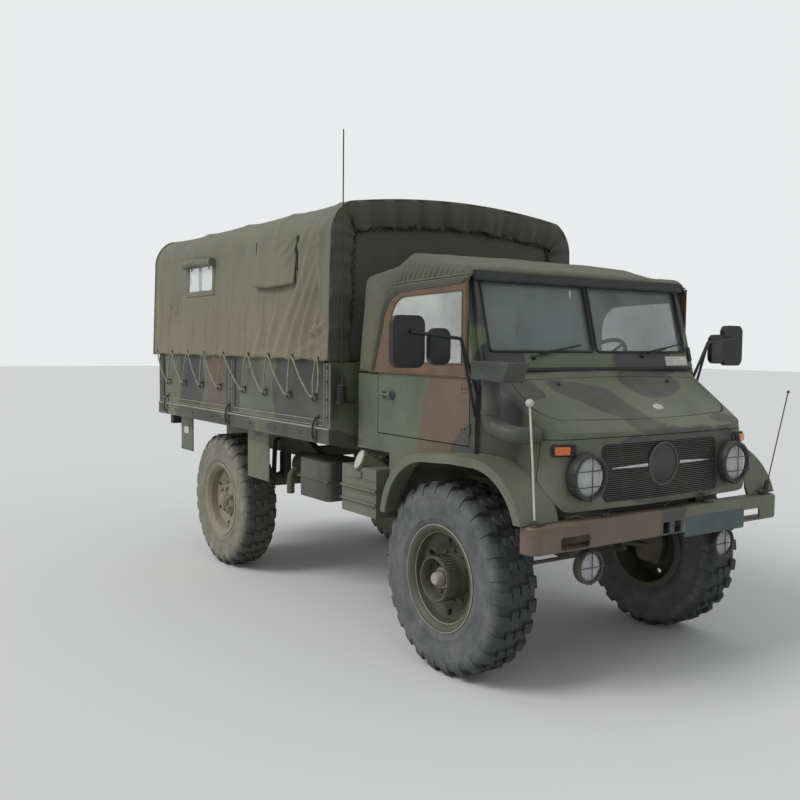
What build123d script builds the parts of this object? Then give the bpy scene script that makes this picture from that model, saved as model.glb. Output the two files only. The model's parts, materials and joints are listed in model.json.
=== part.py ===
import os
from math import cos, radians, sin

from build123d import *

# Light 4x4 military cargo truck with portal axles, in millimetres.
# +X is forward, +Y is the truck's left, +Z is up; the ground is at z = 0.

# Axles and wheels
WHEELBASE = 2900
FRONT_AXLE_X = 1705
REAR_AXLE_X = FRONT_AXLE_X - WHEELBASE
TYRE_RADIUS = 520
TRACK_HALF = 815
LUGS_PER_SIDE = 18
RIM_BORE_RADIUS = 240
PORTAL_DROP = 125
AXLE_TUBE_Z = TYRE_RADIUS + PORTAL_DROP
AXLE_TUBE_RADIUS = 55
KINGPIN_Y = 680
KINGPIN_RADIUS = 18
SPINDLE_RADIUS = 45
RUNNING_CLEARANCE = 0.05
STEERING_ARM = (-150, 0, 500)
SPRING_Y = 360
SPRING_SEAT = 56
DAMPER_Y = 425
RAIL_OUTER = 390
RAIL_INNER = 330

# Body
CAB_REAR = 760
CAB_HALF_WIDTH = 865
CAB_FLOOR_Z = 1130
BELT_Z = 1590
WALL = 45
SHEET = 22
DOOR_REAR = 978
DOOR_FRONT = 1857
DOOR_BOTTOM = 1235
DOOR_GAP = 6
COWL_X = 1940
NOSE_BOTTOM = 958
BONNET_REAR = 2001
BONNET_FRONT = 2318
PANEL_TOP_Z = 1312
PANEL_SIDE_X = 2290
FENDER_HALF_WIDTH = 1000
FENDER_SHEET = 16
HEADLAMP_Y = 580
HEADLAMP_Z = 1130
HEADLAMP_RADIUS = 114

# Load bed and its cover
BED_REAR = -2350
BED_FRONT = 680
BED_HALF_WIDTH = 1030
BOARD_OUTER = 1020
BOARD_THICKNESS = 35
FLOOR_Z = 1240
DECK_THICKNESS = 4
BED_BOTTOM = 1140
BOARD_TOP = 1697
BOARD_BOTTOM = 1247
POST_WIDTH = 60
FRONT_POST = 82
MID_POST_X = -820
COVER_REAR = -2450
COVER_FRONT = 665
COVER_BOTTOM = 1655
COVER_SHEET = 10

BUMPER_FRONT = 2460
BUMPER_DEPTH = 88
BUMPER_HALF_WIDTH = 968
BUMPER_BOTTOM = 785
BUMPER_TOP = 922

os.makedirs("parts", exist_ok=True)


def side_plane(y):
    """The plane at this y whose own axes are X and Z; it faces the truck's right."""
    return Plane(origin=(0, y, 0), x_dir=(1, 0, 0), z_dir=(0, -1, 0))


def block(x0, x1, y0, y1, z0, z1, mode=Mode.ADD):
    """A box between two corners."""
    with Locations(((x0 + x1) / 2, (y0 + y1) / 2, (z0 + z1) / 2)):
        Box(x1 - x0, y1 - y0, z1 - z0, mode=mode)


def prism(plane, points, amount, both=False, mode=Mode.ADD):
    """A straight-sided outline pushed along its plane's normal."""
    with BuildSketch(plane) as outline:
        with BuildLine():
            Polyline(*points, close=True)
        make_face()
    extrude(outline.sketch, amount=amount, both=both, mode=mode)


def rod(start, end, radius, mode=Mode.ADD):
    """A round bar between two points."""
    axis = Vector(*end) - Vector(*start)
    with BuildSketch(Plane(origin=start, z_dir=axis)) as section:
        Circle(radius)
    extrude(section.sketch, amount=axis.length, mode=mode)


def bent_tube(points, bend, radius):
    """A tube of one radius along straight runs joined by arcs."""
    with BuildLine() as route:
        FilletPolyline(*points, radius=bend)
    with BuildSketch(Plane(origin=route.line @ 0, z_dir=route.line % 0)) as section:
        Circle(radius)
    sweep(section.sketch, path=route.line)


def finish(piece, name):
    """Label a finished piece and write its file."""
    piece.part.label = name
    export_step(piece.part, f"parts/{name}.step")


# Tyres: a flat-sided carcass ring with alternating shoulder lugs

def wheel_ring(offset, radius, sides):
    """A many-sided outline square to the wheel's axis, its flats at this radius."""
    plane = Plane(origin=(0, offset, 0), x_dir=(1, 0, 0), z_dir=(0, 1, 0))
    with BuildSketch(plane) as ring:
        RegularPolygon(radius, sides, major_radius=False, rotation=180 / sides)
    return ring.sketch


# Carcass sections: offset from the wheel's middle plane, radius to the flats
CARCASS_SECTIONS = [(-135, 430), (-108, 500), (108, 500), (135, 430)]
# A lug's outline from the tread's middle over the shoulder: offset, radius
LUG_OUTLINE = [(12, 492), (12, 520), (106, 520), (141, 462), (135, 430), (108, 492)]
LUG_WIDTH = 62
# What the rim takes out of the tyre: offset, length outwards, radius to the flats
BEAD_CUTS = [(-200, 400, 254), (-200, 95, 289), (105, 95, 289)]
CARCASS_SIDES = 2 * LUGS_PER_SIDE
BEAD_SIDES = 24


def lug(side, step):
    """One bar lug, turned to its place round the tyre; the two shoulders alternate."""
    angle = (step + (0.5 if side < 0 else 0)) * 360 / LUGS_PER_SIDE
    lug_plane = Plane(origin=(0, 0, 0), x_dir=(0, side, 0), z_dir=(-side, 0, 0))
    with BuildSketch(lug_plane) as outline:
        with BuildLine():
            Polyline(*LUG_OUTLINE, close=True)
        make_face()
    bar = extrude(outline.sketch, amount=LUG_WIDTH / 2, both=True, mode=Mode.PRIVATE)
    return bar.rotate(Axis.Y, angle)


with BuildPart() as tyre_form:
    for low, high in zip(CARCASS_SECTIONS, CARCASS_SECTIONS[1:]):
        loft([wheel_ring(*low, CARCASS_SIDES).face(), wheel_ring(*high, CARCASS_SIDES).face()], ruled=True)
    add([lug(side, step) for side in (1, -1) for step in range(LUGS_PER_SIDE)])
    for offset_from, length, radius in BEAD_CUTS:
        extrude(wheel_ring(offset_from, radius, BEAD_SIDES), amount=length, mode=Mode.SUBTRACT)

# Rims: half section by revolving; columns are radius and outward offset
RIM_SECTION = [
    (240, -128), (285, -128), (285, -118), (252, -108), (252, 108), (285, 118), (285, 128), (240, 128),
]


def rim_disc_section(front):
    """The dished disc and hub as radius, offset; the front hub stands out past the rim."""
    if front:
        return [
            (SPINDLE_RADIUS + RUNNING_CLEARANCE, -35), (100, -35), (100, -5), (150, -5), (190, 30), (241, 45),
            (241, 57), (184, 43), (146, 10), (108, 10), (108, 62), (95, 66), (95, 118), (84, 124),
            (SPINDLE_RADIUS + RUNNING_CLEARANCE, 124),
        ]
    return [
        (SPINDLE_RADIUS + RUNNING_CLEARANCE, -35), (100, -35), (100, 10), (150, 14), (205, 44), (241, 36),
        (241, 48), (203, 58), (146, 30), (120, 30), (112, 72), (70, 84), (62, 104),
        (SPINDLE_RADIUS + RUNNING_CLEARANCE, 104),
    ]


def make_rim(front):
    """A steel rim about the wheel's own axis, outward along +Y."""
    with BuildPart() as rim:
        for section in (RIM_SECTION, rim_disc_section(front)):
            with BuildSketch(Plane.XY) as half:
                with BuildLine():
                    Polyline(*section, close=True)
                make_face()
            revolve(half.sketch, axis=Axis.Y)
        cap_start = 124 if front else 104
        with BuildSketch(Plane(origin=(0, cap_start, 0), x_dir=(1, 0, 0), z_dir=(0, 1, 0))) as cap:
            Circle(84 if front else 62)
        extrude(cap.sketch, amount=6)
        with BuildSketch(Plane(origin=(0, cap_start, 0), x_dir=(1, 0, 0), z_dir=(0, 1, 0))) as boss:
            Circle(30)
        extrude(boss.sketch, amount=20)
        hand_hole_plane = Plane(origin=(0, -10, 0), x_dir=(1, 0, 0), z_dir=(0, 1, 0))
        with BuildSketch(hand_hole_plane) as hand_holes:
            with PolarLocations(196, 6, start_angle=30):
                Circle(18)
        extrude(hand_holes.sketch, amount=120, mode=Mode.SUBTRACT)
    return rim.part


WHEELS = [
    # name, axle x, side, is front
    ("front_left", FRONT_AXLE_X, 1, True),
    ("front_right", FRONT_AXLE_X, -1, True),
    ("rear_left", REAR_AXLE_X, 1, False),
    ("rear_right", REAR_AXLE_X, -1, False),
]

rim_forms = {True: make_rim(True), False: make_rim(False)}
for wheel_name, axle_x, side, is_front in WHEELS:
    for prefix, form in (("tyre", tyre_form.part), ("rim", rim_forms[is_front])):
        sided = form if side > 0 else mirror(form, about=Plane.XZ)
        with BuildPart() as wheel_piece:
            add(sided.moved(Location((axle_x, side * TRACK_HALF, TYRE_RADIUS))))
        finish(wheel_piece, f"{prefix}_{wheel_name}")

# Steering knuckles: portal case, spindle, two kingpin arms and a steering arm


def knuckle(side):
    """The knuckle of one side, built on the left and mirrored for the right."""
    case_y = TRACK_HALF - 80
    with BuildPart() as piece:
        with BuildSketch(Plane(origin=(FRONT_AXLE_X, case_y, 0), x_dir=(1, 0, 0), z_dir=(0, 1, 0))) as case:
            with BuildLine():
                Polyline((-118, -520), (-80, -690), (80, -690), (118, -520), (80, -400), (-80, -400), close=True)
            make_face()
            fillet(case.vertices(), 38)
        extrude(case.sketch, amount=30)
        rod((FRONT_AXLE_X, case_y + 30, TYRE_RADIUS), (FRONT_AXLE_X, TRACK_HALF + 118, TYRE_RADIUS), SPINDLE_RADIUS)
        for low, high in ((AXLE_TUBE_Z - 77, AXLE_TUBE_Z - 57), (AXLE_TUBE_Z + 57, AXLE_TUBE_Z + 77)):
            block(FRONT_AXLE_X - 38, FRONT_AXLE_X + 38, KINGPIN_Y, case_y, low, high)
            rod((FRONT_AXLE_X, KINGPIN_Y, low), (FRONT_AXLE_X, KINGPIN_Y, high), 38)
        rod(
            (FRONT_AXLE_X, KINGPIN_Y, AXLE_TUBE_Z - 77), (FRONT_AXLE_X, KINGPIN_Y, AXLE_TUBE_Z + 77),
            KINGPIN_RADIUS,
        )
        arm_x, arm_y, arm_z = STEERING_ARM
        eye = (FRONT_AXLE_X + arm_x, KINGPIN_Y + arm_y)
        outline = [
            (FRONT_AXLE_X + 20, case_y), (FRONT_AXLE_X - 40, case_y), (eye[0] - 22, eye[1] + 16),
            (eye[0] - 22, eye[1] - 16), (eye[0] + 22, eye[1] - 16),
        ]
        prism(Plane.XY.offset(arm_z - 12), outline, 24)
        rod((*eye, arm_z - 50), (*eye, arm_z - 12), 9)
    return piece.part if side > 0 else mirror(piece.part, about=Plane.XZ)


for side_name, side in (("left", 1), ("right", -1)):
    with BuildPart() as knuckle_piece:
        add(knuckle(side))
    finish(knuckle_piece, f"knuckle_{side_name}")

# Tie rod: one bar whose eyes turn on the steering arms' pins
EYE_X = FRONT_AXLE_X + STEERING_ARM[0]
EYE_Y = KINGPIN_Y + STEERING_ARM[1]
EYE_Z = STEERING_ARM[2] - 34
with BuildPart() as tie_rod:
    for side in (1, -1):
        rod((EYE_X, side * EYE_Y, EYE_Z - 15), (EYE_X, side * EYE_Y, EYE_Z + 15), 22)
    rod((EYE_X, 15 - EYE_Y, EYE_Z), (EYE_X, EYE_Y - 15, EYE_Z), 12)
    for side in (1, -1):
        rod(
            (EYE_X, side * EYE_Y, EYE_Z - 30), (EYE_X, side * EYE_Y, EYE_Z + 30),
            9 + RUNNING_CLEARANCE, mode=Mode.SUBTRACT,
        )
finish(tie_rod, "tie_rod")

# Axles: tube, differential case and, at the front, kingpin bosses


def differential(axle_x):
    """The round case in the middle of an axle."""
    with BuildSketch(Plane(origin=(axle_x, 0, AXLE_TUBE_Z), x_dir=(1, 0, 0), z_dir=(0, 0, 1))) as half:
        with BuildLine():
            Polyline((0, -115), (60, -110), (118, -55), (130, 0), (118, 55), (60, 110), (0, 115), close=True)
        make_face()
    revolve(half.sketch, axis=Axis(origin=(axle_x, 0, AXLE_TUBE_Z), direction=(0, 1, 0)))


def spring_seats(axle_x):
    """The spring seats on top of an axle tube and the damper eyes behind it."""
    for side in (1, -1):
        block(
            axle_x - 45, axle_x + 45, side * SPRING_Y - 45, side * SPRING_Y + 45,
            AXLE_TUBE_Z + 20, AXLE_TUBE_Z + SPRING_SEAT,
        )
        block(
            axle_x - 108, axle_x, side * DAMPER_Y - 14, side * DAMPER_Y + 14,
            AXLE_TUBE_Z - 50, AXLE_TUBE_Z - 22,
        )


with BuildPart() as front_axle:
    rod((FRONT_AXLE_X, -620, AXLE_TUBE_Z), (FRONT_AXLE_X, 620, AXLE_TUBE_Z), AXLE_TUBE_RADIUS)
    differential(FRONT_AXLE_X)
    for side in (1, -1):
        rod((FRONT_AXLE_X, side * 600, AXLE_TUBE_Z), (FRONT_AXLE_X, side * KINGPIN_Y, AXLE_TUBE_Z), 35)
        rod((FRONT_AXLE_X, side * KINGPIN_Y, AXLE_TUBE_Z - 47), (FRONT_AXLE_X, side * KINGPIN_Y, AXLE_TUBE_Z + 47), 38)
    for side in (1, -1):
        rod(
            (FRONT_AXLE_X, side * KINGPIN_Y, AXLE_TUBE_Z - 100), (FRONT_AXLE_X, side * KINGPIN_Y, AXLE_TUBE_Z + 100),
            KINGPIN_RADIUS + RUNNING_CLEARANCE, mode=Mode.SUBTRACT,
        )
    spring_seats(FRONT_AXLE_X)
finish(front_axle, "front_axle")

with BuildPart() as rear_axle:
    rod((REAR_AXLE_X, -745, AXLE_TUBE_Z), (REAR_AXLE_X, 745, AXLE_TUBE_Z), AXLE_TUBE_RADIUS)
    differential(REAR_AXLE_X)
    for side in (1, -1):
        prism(
            side_plane(side * (TRACK_HALF - 50)),
            [
                (REAR_AXLE_X - 118, 520), (REAR_AXLE_X - 80, 712), (REAR_AXLE_X + 80, 712),
                (REAR_AXLE_X + 118, 520), (REAR_AXLE_X + 80, 400), (REAR_AXLE_X - 80, 400),
            ],
            side * 50,
        )
        rod(
            (REAR_AXLE_X, side * (TRACK_HALF - 50), TYRE_RADIUS), (REAR_AXLE_X, side * (TRACK_HALF + 98), TYRE_RADIUS),
            SPINDLE_RADIUS,
        )
    spring_seats(REAR_AXLE_X)
finish(rear_axle, "rear_axle")

# Suspension: a coil spring and a damper at each end of each axle
RAIL_UNDERSIDE = {FRONT_AXLE_X: 850, REAR_AXLE_X: 867}
with BuildPart() as suspension:
    for axle_x, rail_z in RAIL_UNDERSIDE.items():
        for side in (1, -1):
            rod((axle_x, side * SPRING_Y, AXLE_TUBE_Z + SPRING_SEAT), (axle_x, side * SPRING_Y, rail_z), 48)
            rod((axle_x - 90, side * DAMPER_Y, AXLE_TUBE_Z - 20), (axle_x - 60, side * DAMPER_Y, 960), 20)
            low, high = sorted((side * RAIL_OUTER, side * (DAMPER_Y + 15)))
            block(axle_x - 85, axle_x - 35, low, high, 962, 980)
finish(suspension, "suspension")

# Frame: two cranked channel rails with cross members
RAIL_OUTLINE = [
    (-2330, 1000), (-760, 1000), (-540, 880), (1080, 880), (1300, 985), (2370, 985),
    (2370, 850), (1340, 850), (1120, 740), (-580, 740), (-800, 865), (-2330, 880),
]
CROSS_MEMBER_X = [-2300, -1560, -700, 160, 660, 2300]
with BuildPart() as chassis_frame:
    for side in (1, -1):
        prism(side_plane(side * RAIL_OUTER), RAIL_OUTLINE, side * (RAIL_OUTER - RAIL_INNER))
        with BuildSketch(side_plane(side * RAIL_INNER)) as channel:
            with BuildLine():
                Polyline(*RAIL_OUTLINE, close=True)
            make_face()
            offset(amount=-10, mode=Mode.REPLACE, kind=Kind.INTERSECTION)
        extrude(channel.sketch, amount=-side * (RAIL_OUTER - RAIL_INNER - 10), mode=Mode.SUBTRACT)
        block(2360, BUMPER_FRONT - 12, side * 360 - 25, side * 360 + 25, 860, 905)
    for cross_x in CROSS_MEMBER_X:
        cross_z = 810 if -600 < cross_x < 1100 else 920
        block(cross_x - 30, cross_x + 30, -380, 380, cross_z - 40, cross_z + 40)
finish(chassis_frame, "chassis_frame")

# Front bumper: a channel with rounded ends and through slots
with BuildPart() as front_bumper:
    with BuildSketch(Plane.XY.offset(BUMPER_BOTTOM)) as plan:
        with BuildLine():
            Polyline(
                (BUMPER_FRONT - BUMPER_DEPTH, -BUMPER_HALF_WIDTH), (BUMPER_FRONT, -BUMPER_HALF_WIDTH),
                (BUMPER_FRONT, BUMPER_HALF_WIDTH), (BUMPER_FRONT - BUMPER_DEPTH, BUMPER_HALF_WIDTH), close=True,
            )
        make_face()
        fillet(plan.vertices().group_by(Axis.X)[-1], 55)
    extrude(plan.sketch, amount=BUMPER_TOP - BUMPER_BOTTOM)
    fillet(front_bumper.edges().filter_by(GeomType.LINE).filter_by(Axis.Y).group_by(Axis.X)[-1], 14)
    with BuildSketch(Plane.XY.offset(BUMPER_BOTTOM + 12)) as hollow:
        with BuildLine():
            Polyline(
                (BUMPER_FRONT - BUMPER_DEPTH - 1, -BUMPER_HALF_WIDTH + 12), (BUMPER_FRONT - 12, -BUMPER_HALF_WIDTH + 12),
                (BUMPER_FRONT - 12, BUMPER_HALF_WIDTH - 12), (BUMPER_FRONT - BUMPER_DEPTH - 1, BUMPER_HALF_WIDTH - 12),
                close=True,
            )
        make_face()
        fillet(hollow.vertices().group_by(Axis.X)[-1], 43)
    extrude(hollow.sketch, amount=BUMPER_TOP - BUMPER_BOTTOM - 24, mode=Mode.SUBTRACT)
    with BuildSketch(Plane.YZ.offset(BUMPER_FRONT - 30)) as slots:
        for slot_y in (-685, 685):
            with Locations((slot_y, 826)):
                RectangleRounded(200, 62, 16)
        for slot_y in (-25, 65):
            with Locations((slot_y, 826)):
                RectangleRounded(52, 62, 8)
    extrude(slots.sketch, amount=60, mode=Mode.SUBTRACT)
finish(front_bumper, "front_bumper")

# Marker rods: base, top, both on the bumper's upper flange
MARKER_RODS = [((2430, -930, BUMPER_TOP), (2380, -930, 1500)), ((2420, 887, BUMPER_TOP), (2420, 1085, 1512))]
with BuildPart() as marker_rods:
    for base, top in MARKER_RODS:
        rod((base[0], base[1], base[2] + 3), top, 5)
        with Locations(top):
            Sphere(20)
        rod(base, (base[0], base[1], base[2] + 12), 14)
finish(marker_rods, "marker_rods")

# Wheel arch: the outer curve of the front fender, seen from the side
ARCH_POINTS = [(1215, 800), (1330, 1052), (1640, 1190), (1860, 1205), (2030, 1205), (2268, 1128), (2410, 905)]


def arch_region(grow, y, depth):
    """The space under the arch's curve, pushed sideways; grow moves the curve outwards."""
    start, rear_mid, rear_top, flat, front_top, front_mid, end = ARCH_POINTS
    with BuildSketch(side_plane(y)) as region:
        with BuildLine():
            ThreePointArc(start, rear_mid, rear_top)
            Polyline(rear_top, flat, front_top)
            ThreePointArc(front_top, front_mid, end)
            Polyline(end, (end[0], 700), (start[0], 700), start)
        make_face()
        if grow:
            offset(amount=grow, mode=Mode.REPLACE, kind=Kind.INTERSECTION)
    return extrude(region.sketch, amount=depth, mode=Mode.PRIVATE)


# Nose: the plan outline narrows upwards, under a crowned, sloping top


def nose_plan(z, inset, rear_half, front_half, front_x):
    """The nose's outline seen from above, at one height."""
    back, front = rear_half - inset, front_half - inset
    tip = front_x - inset
    with BuildSketch(Plane.XY.offset(z)) as plan:
        with BuildLine():
            Polyline((1700, -back), (DOOR_FRONT, -back), (tip - 160, -front))
            ThreePointArc((tip - 160, -front), (tip - 68, -front + 41), (tip - 30, -front + 140))
            ThreePointArc((tip - 30, -front + 140), (tip, 0), (tip - 30, front - 140))
            ThreePointArc((tip - 30, front - 140), (tip - 68, front - 41), (tip - 160, front))
            Polyline((tip - 160, front), (DOOR_FRONT, back), (1700, back), (1700, -back))
        make_face()
    return plan.sketch.face()


def crown_section(x, half, top, inset):
    """The nose's rounded upper outline seen from the front."""
    edge, crest = half - inset, top - inset
    corner = 90 - inset
    lean = corner * (1 - cos(radians(45)))
    with BuildSketch(Plane.YZ.offset(x)) as section:
        with BuildLine():
            Polyline((-edge, crest - corner), (-edge, 600), (edge, 600), (edge, crest - corner))
            ThreePointArc((edge, crest - corner), (edge - lean, crest - lean), (edge - corner, crest))
            ThreePointArc((edge - corner, crest), (0, crest + 14), (corner - edge, crest))
            ThreePointArc((corner - edge, crest), (lean - edge, crest - lean), (-edge, crest - corner))
        make_face()
    return section.sketch.face()


SLOPE = (1627 - 1368) / (2330 - COWL_X)


def nose_hull(inset):
    """The nose's outer form, or the same form drawn in by the sheet's thickness."""
    with BuildPart() as hull:
        loft([nose_plan(700, inset, 870, 848, 2438), nose_plan(1660, inset, 858, 742, 2384)], ruled=True)
        crown_end = 2480
        low = crown_section(1800, 850, 1627 + 140 * SLOPE, inset)
        high = crown_section(crown_end, 770, 1627 - (crown_end - COWL_X) * SLOPE, inset)
        loft([low, high], ruled=True, mode=Mode.INTERSECT)
        with BuildSketch(side_plane(0)) as profile:
            with BuildLine():
                Polyline((1700, 1638 - inset), (COWL_X + 20, 1638 - inset), (2310, 1402 - inset))
                ThreePointArc(
                    (2310, 1402 - inset), (2396 - inset, 1330 - inset * 0.7), (2434 - inset, 1230),
                )
                Polyline((2434 - inset, 1230), (2434 - inset, 700), (1700, 700), (1700, 1638 - inset))
            make_face()
        extrude(profile.sketch, amount=950, both=True, mode=Mode.INTERSECT)
    return hull.part


outer_nose = nose_hull(0)
inner_nose = nose_hull(SHEET)


def bonnet_region(shrink, lift=500):
    """The lid's outline seen from above, with its two rounded front corners."""
    rear = BONNET_REAR + shrink
    front = BONNET_FRONT - shrink
    rear_half, front_half = 721 - shrink, 742 - shrink
    with BuildSketch(Plane.XY.offset(1250)) as plan:
        with BuildLine():
            Polyline((rear, -rear_half), (front - 150, -front_half))
            ThreePointArc((front - 150, -front_half), (front - 72, -front_half + 40), (front - 32, -front_half + 150))
            ThreePointArc((front - 32, -front_half + 150), (front, 0), (front - 32, front_half - 150))
            ThreePointArc((front - 32, front_half - 150), (front - 72, front_half - 40), (front - 150, front_half))
            Polyline((front - 150, front_half), (rear, rear_half), (rear, -rear_half))
        make_face()
    return extrude(plan.sketch, amount=lift, mode=Mode.PRIVATE)


with BuildPart() as nose_shell:
    add(outer_nose)
    add(inner_nose, mode=Mode.SUBTRACT)
    block(1600, 1900, -900, 900, 600, 1700, mode=Mode.SUBTRACT)
    block(1600, 2500, -900, 900, 600, NOSE_BOTTOM, mode=Mode.SUBTRACT)
    add(arch_region(0, 950, 1900), mode=Mode.SUBTRACT)

# Front panel: the mask below the upper seam, with its grille and headlamp holes
GRILLE_HALF = 455
GRILLE_BOTTOM = 988
GRILLE_TOP = 1278


def grille_region(shrink):
    """The grille's outline seen from the front, cut round by the headlamps."""
    with BuildPart(mode=Mode.PRIVATE) as region:
        with BuildSketch(Plane.YZ.offset(2200)) as opening:
            with Locations((0, (GRILLE_BOTTOM + GRILLE_TOP) / 2)):
                RectangleRounded(
                    2 * (GRILLE_HALF - shrink), GRILLE_TOP - GRILLE_BOTTOM - 2 * shrink, 40,
                )
            with Locations((HEADLAMP_Y, HEADLAMP_Z), (-HEADLAMP_Y, HEADLAMP_Z)):
                Circle(HEADLAMP_RADIUS + 14 + shrink, mode=Mode.SUBTRACT)
        extrude(opening.sketch, amount=400)
    return region.part


with BuildPart() as front_panel:
    add(nose_shell.part)
    block(PANEL_SIDE_X + 2, 2600, -950, 950, 700, PANEL_TOP_Z - 2, mode=Mode.INTERSECT)
    add(grille_region(0), mode=Mode.SUBTRACT)
    with BuildSketch(Plane.YZ.offset(2200)) as lamp_holes:
        with Locations((HEADLAMP_Y, HEADLAMP_Z), (-HEADLAMP_Y, HEADLAMP_Z)):
            Circle(HEADLAMP_RADIUS - 14)
    extrude(lamp_holes.sketch, amount=400, mode=Mode.SUBTRACT)
finish(front_panel, "front_panel")

# Grille: fine horizontal slats on three uprights, curved with the mask
SLAT_PITCH = 20.5
with BuildPart() as grille:
    add(outer_nose)
    add(nose_hull(14), mode=Mode.SUBTRACT)
    add(grille_region(0), mode=Mode.INTERSECT)
    with BuildPart(mode=Mode.PRIVATE) as slats:
        for row in range(14):
            slat_z = GRILLE_BOTTOM + 11 + row * SLAT_PITCH
            block(2200, 2500, -GRILLE_HALF, GRILLE_HALF, slat_z - 5, slat_z + 5)
        for upright_y in (-300, -112, 112, 300):
            block(2200, 2500, upright_y - 8, upright_y + 8, GRILLE_BOTTOM, GRILLE_TOP)
        rod((2200, 0, 1156), (2500, 0, 1156), 112)
    add(slats.part, mode=Mode.INTERSECT)
finish(grille, "grille")

# Bonnet: the lid cut from the same shell, hinged along its rear edge
with BuildPart() as bonnet:
    add(nose_shell.part)
    add(bonnet_region(DOOR_GAP / 2), mode=Mode.INTERSECT)
finish(bonnet, "bonnet")

# Cab: floor, side walls with door openings, rear wall, firewall, cowl and nose sides
FLOOR_SHEET = 22
FIREWALL_X = 1880
COVER_WALL = 18
ENGINE_COVER = (1250, 270, 1430)  # rear, half width, top


def engine_space(low):
    """The hollow over the engine, under its cover and through the firewall."""
    rear, half, top = ENGINE_COVER
    block(
        rear + COVER_WALL, COWL_X + 20, COVER_WALL - half, half - COVER_WALL, low, top - COVER_WALL,
        mode=Mode.SUBTRACT,
    )


with BuildPart() as cab_body:
    block(CAB_REAR, 1900, -CAB_HALF_WIDTH, CAB_HALF_WIDTH, CAB_FLOOR_Z, BELT_Z)
    block(
        CAB_REAR + 25, FIREWALL_X, WALL - CAB_HALF_WIDTH, CAB_HALF_WIDTH - WALL, CAB_FLOOR_Z + FLOOR_SHEET, 1700,
        mode=Mode.SUBTRACT,
    )
    with BuildPart(mode=Mode.PRIVATE) as cowl:
        add(outer_nose)
        block(FIREWALL_X, FIREWALL_X + 45, -900, 900, CAB_FLOOR_Z, 1700, mode=Mode.INTERSECT)
    add(cowl.part)
    engine_space(CAB_FLOOR_Z - 5)
    with BuildPart(mode=Mode.PRIVATE) as nose_sides:
        add(nose_shell.part)
        add(bonnet_region(-DOOR_GAP / 2), mode=Mode.SUBTRACT)
        block(PANEL_SIDE_X - 2, 2600, -950, 950, 700, PANEL_TOP_Z + 2, mode=Mode.SUBTRACT)
    add(nose_sides.part)
    for side in (1, -1):
        skirt = [(1110, 1140), (1110, 800), (1216, 800), (1300, 1010), (1500, 1140)]
        prism(side_plane(side * CAB_HALF_WIDTH), skirt, side * SHEET)
    add(arch_region(0, 950, 1900), mode=Mode.SUBTRACT)
    for side in (1, -1):
        low, high = sorted((side * (CAB_HALF_WIDTH - WALL - 5), side * (CAB_HALF_WIDTH + 20)))
        block(DOOR_REAR, DOOR_FRONT, low, high, DOOR_BOTTOM, 1700, mode=Mode.SUBTRACT)
finish(cab_body, "cab_body")

# Engine cover: the box on the cab's floor between the seats, open below and to the firewall
with BuildPart() as engine_cover:
    cover_rear, cover_half, cover_top = ENGINE_COVER
    block(cover_rear, FIREWALL_X, -cover_half, cover_half, CAB_FLOOR_Z + FLOOR_SHEET, cover_top)
    engine_space(CAB_FLOOR_Z)
finish(engine_cover, "engine_cover")

# Doors: one per side, each as thick as the cab's wall
for side_name, side in (("left", 1), ("right", -1)):
    low, high = sorted((side * (CAB_HALF_WIDTH - WALL), side * CAB_HALF_WIDTH))
    with BuildPart() as door:
        block(
            DOOR_REAR + DOOR_GAP, DOOR_FRONT - DOOR_GAP, low, high, DOOR_BOTTOM + DOOR_GAP, BELT_Z + 7,
        )
        inner_face = side * (CAB_HALF_WIDTH - WALL)
        pocket = sorted((inner_face, inner_face + side * 25))
        block(DOOR_REAR + 70, DOOR_FRONT - 70, *pocket, DOOR_BOTTOM + 60, BELT_Z - 60, mode=Mode.SUBTRACT)
        handle_y = side * (CAB_HALF_WIDTH + 28)
        rod((1050, side * CAB_HALF_WIDTH, 1473), (1050, handle_y, 1473), 9)
        rod((1030, handle_y, 1473), (1150, handle_y, 1473), 8)
    finish(door, f"door_{side_name}")

# Side windows: the curtain's rear edge follows the soft top's rail


def window_outline(plane, grow):
    """The door curtain's outline: leaning rear edge, rounded upper corner, level top."""
    with BuildSketch(plane) as outline:
        with BuildLine():
            Polyline((1838, 1597), (905, 1597), (1000, 1880))
            ThreePointArc((1000, 1880), (1080, 2040), (1230, 2104))
            Polyline((1230, 2104), (1838, 2122), (1838, 1597))
        make_face()
        if grow:
            offset(amount=grow, mode=Mode.REPLACE, kind=Kind.INTERSECTION)
    return outline.sketch


for side_name, side in (("left", 1), ("right", -1)):
    frame_plane = side_plane(side * (CAB_HALF_WIDTH + 3))
    with BuildPart() as side_window:
        extrude(window_outline(frame_plane, 0), amount=side * 26)
        with BuildSketch(frame_plane) as pane_hole:
            with BuildLine():
                Polyline((1800, 1672), (1136, 1672), (1136, 1900))
                ThreePointArc((1136, 1900), (1178, 1996), (1290, 2044))
                Polyline((1290, 2044), (1800, 2050), (1800, 1672))
            make_face()
        extrude(pane_hole.sketch, amount=side * 9, mode=Mode.SUBTRACT)
        inner_plane = side_plane(side * (CAB_HALF_WIDTH + 3 - 26))
        extrude(pane_hole.sketch.moved(Location((0, -side * 26, 0))), amount=-side * 11, mode=Mode.SUBTRACT)
    finish(side_window, f"side_window_{side_name}")

# Windscreen: a leaning frame with two lights and a centre post
SCREEN_BASE = Vector(1929, 0, 1650)
SCREEN_TOP = Vector(1794, 0, 2166)
screen_up = (SCREEN_TOP - SCREEN_BASE).normalized()
screen_plane = Plane(origin=SCREEN_BASE, x_dir=(0, 1, 0), z_dir=Vector(0, 1, 0).cross(screen_up))
SCREEN_HEIGHT = (SCREEN_TOP - SCREEN_BASE).length


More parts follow.
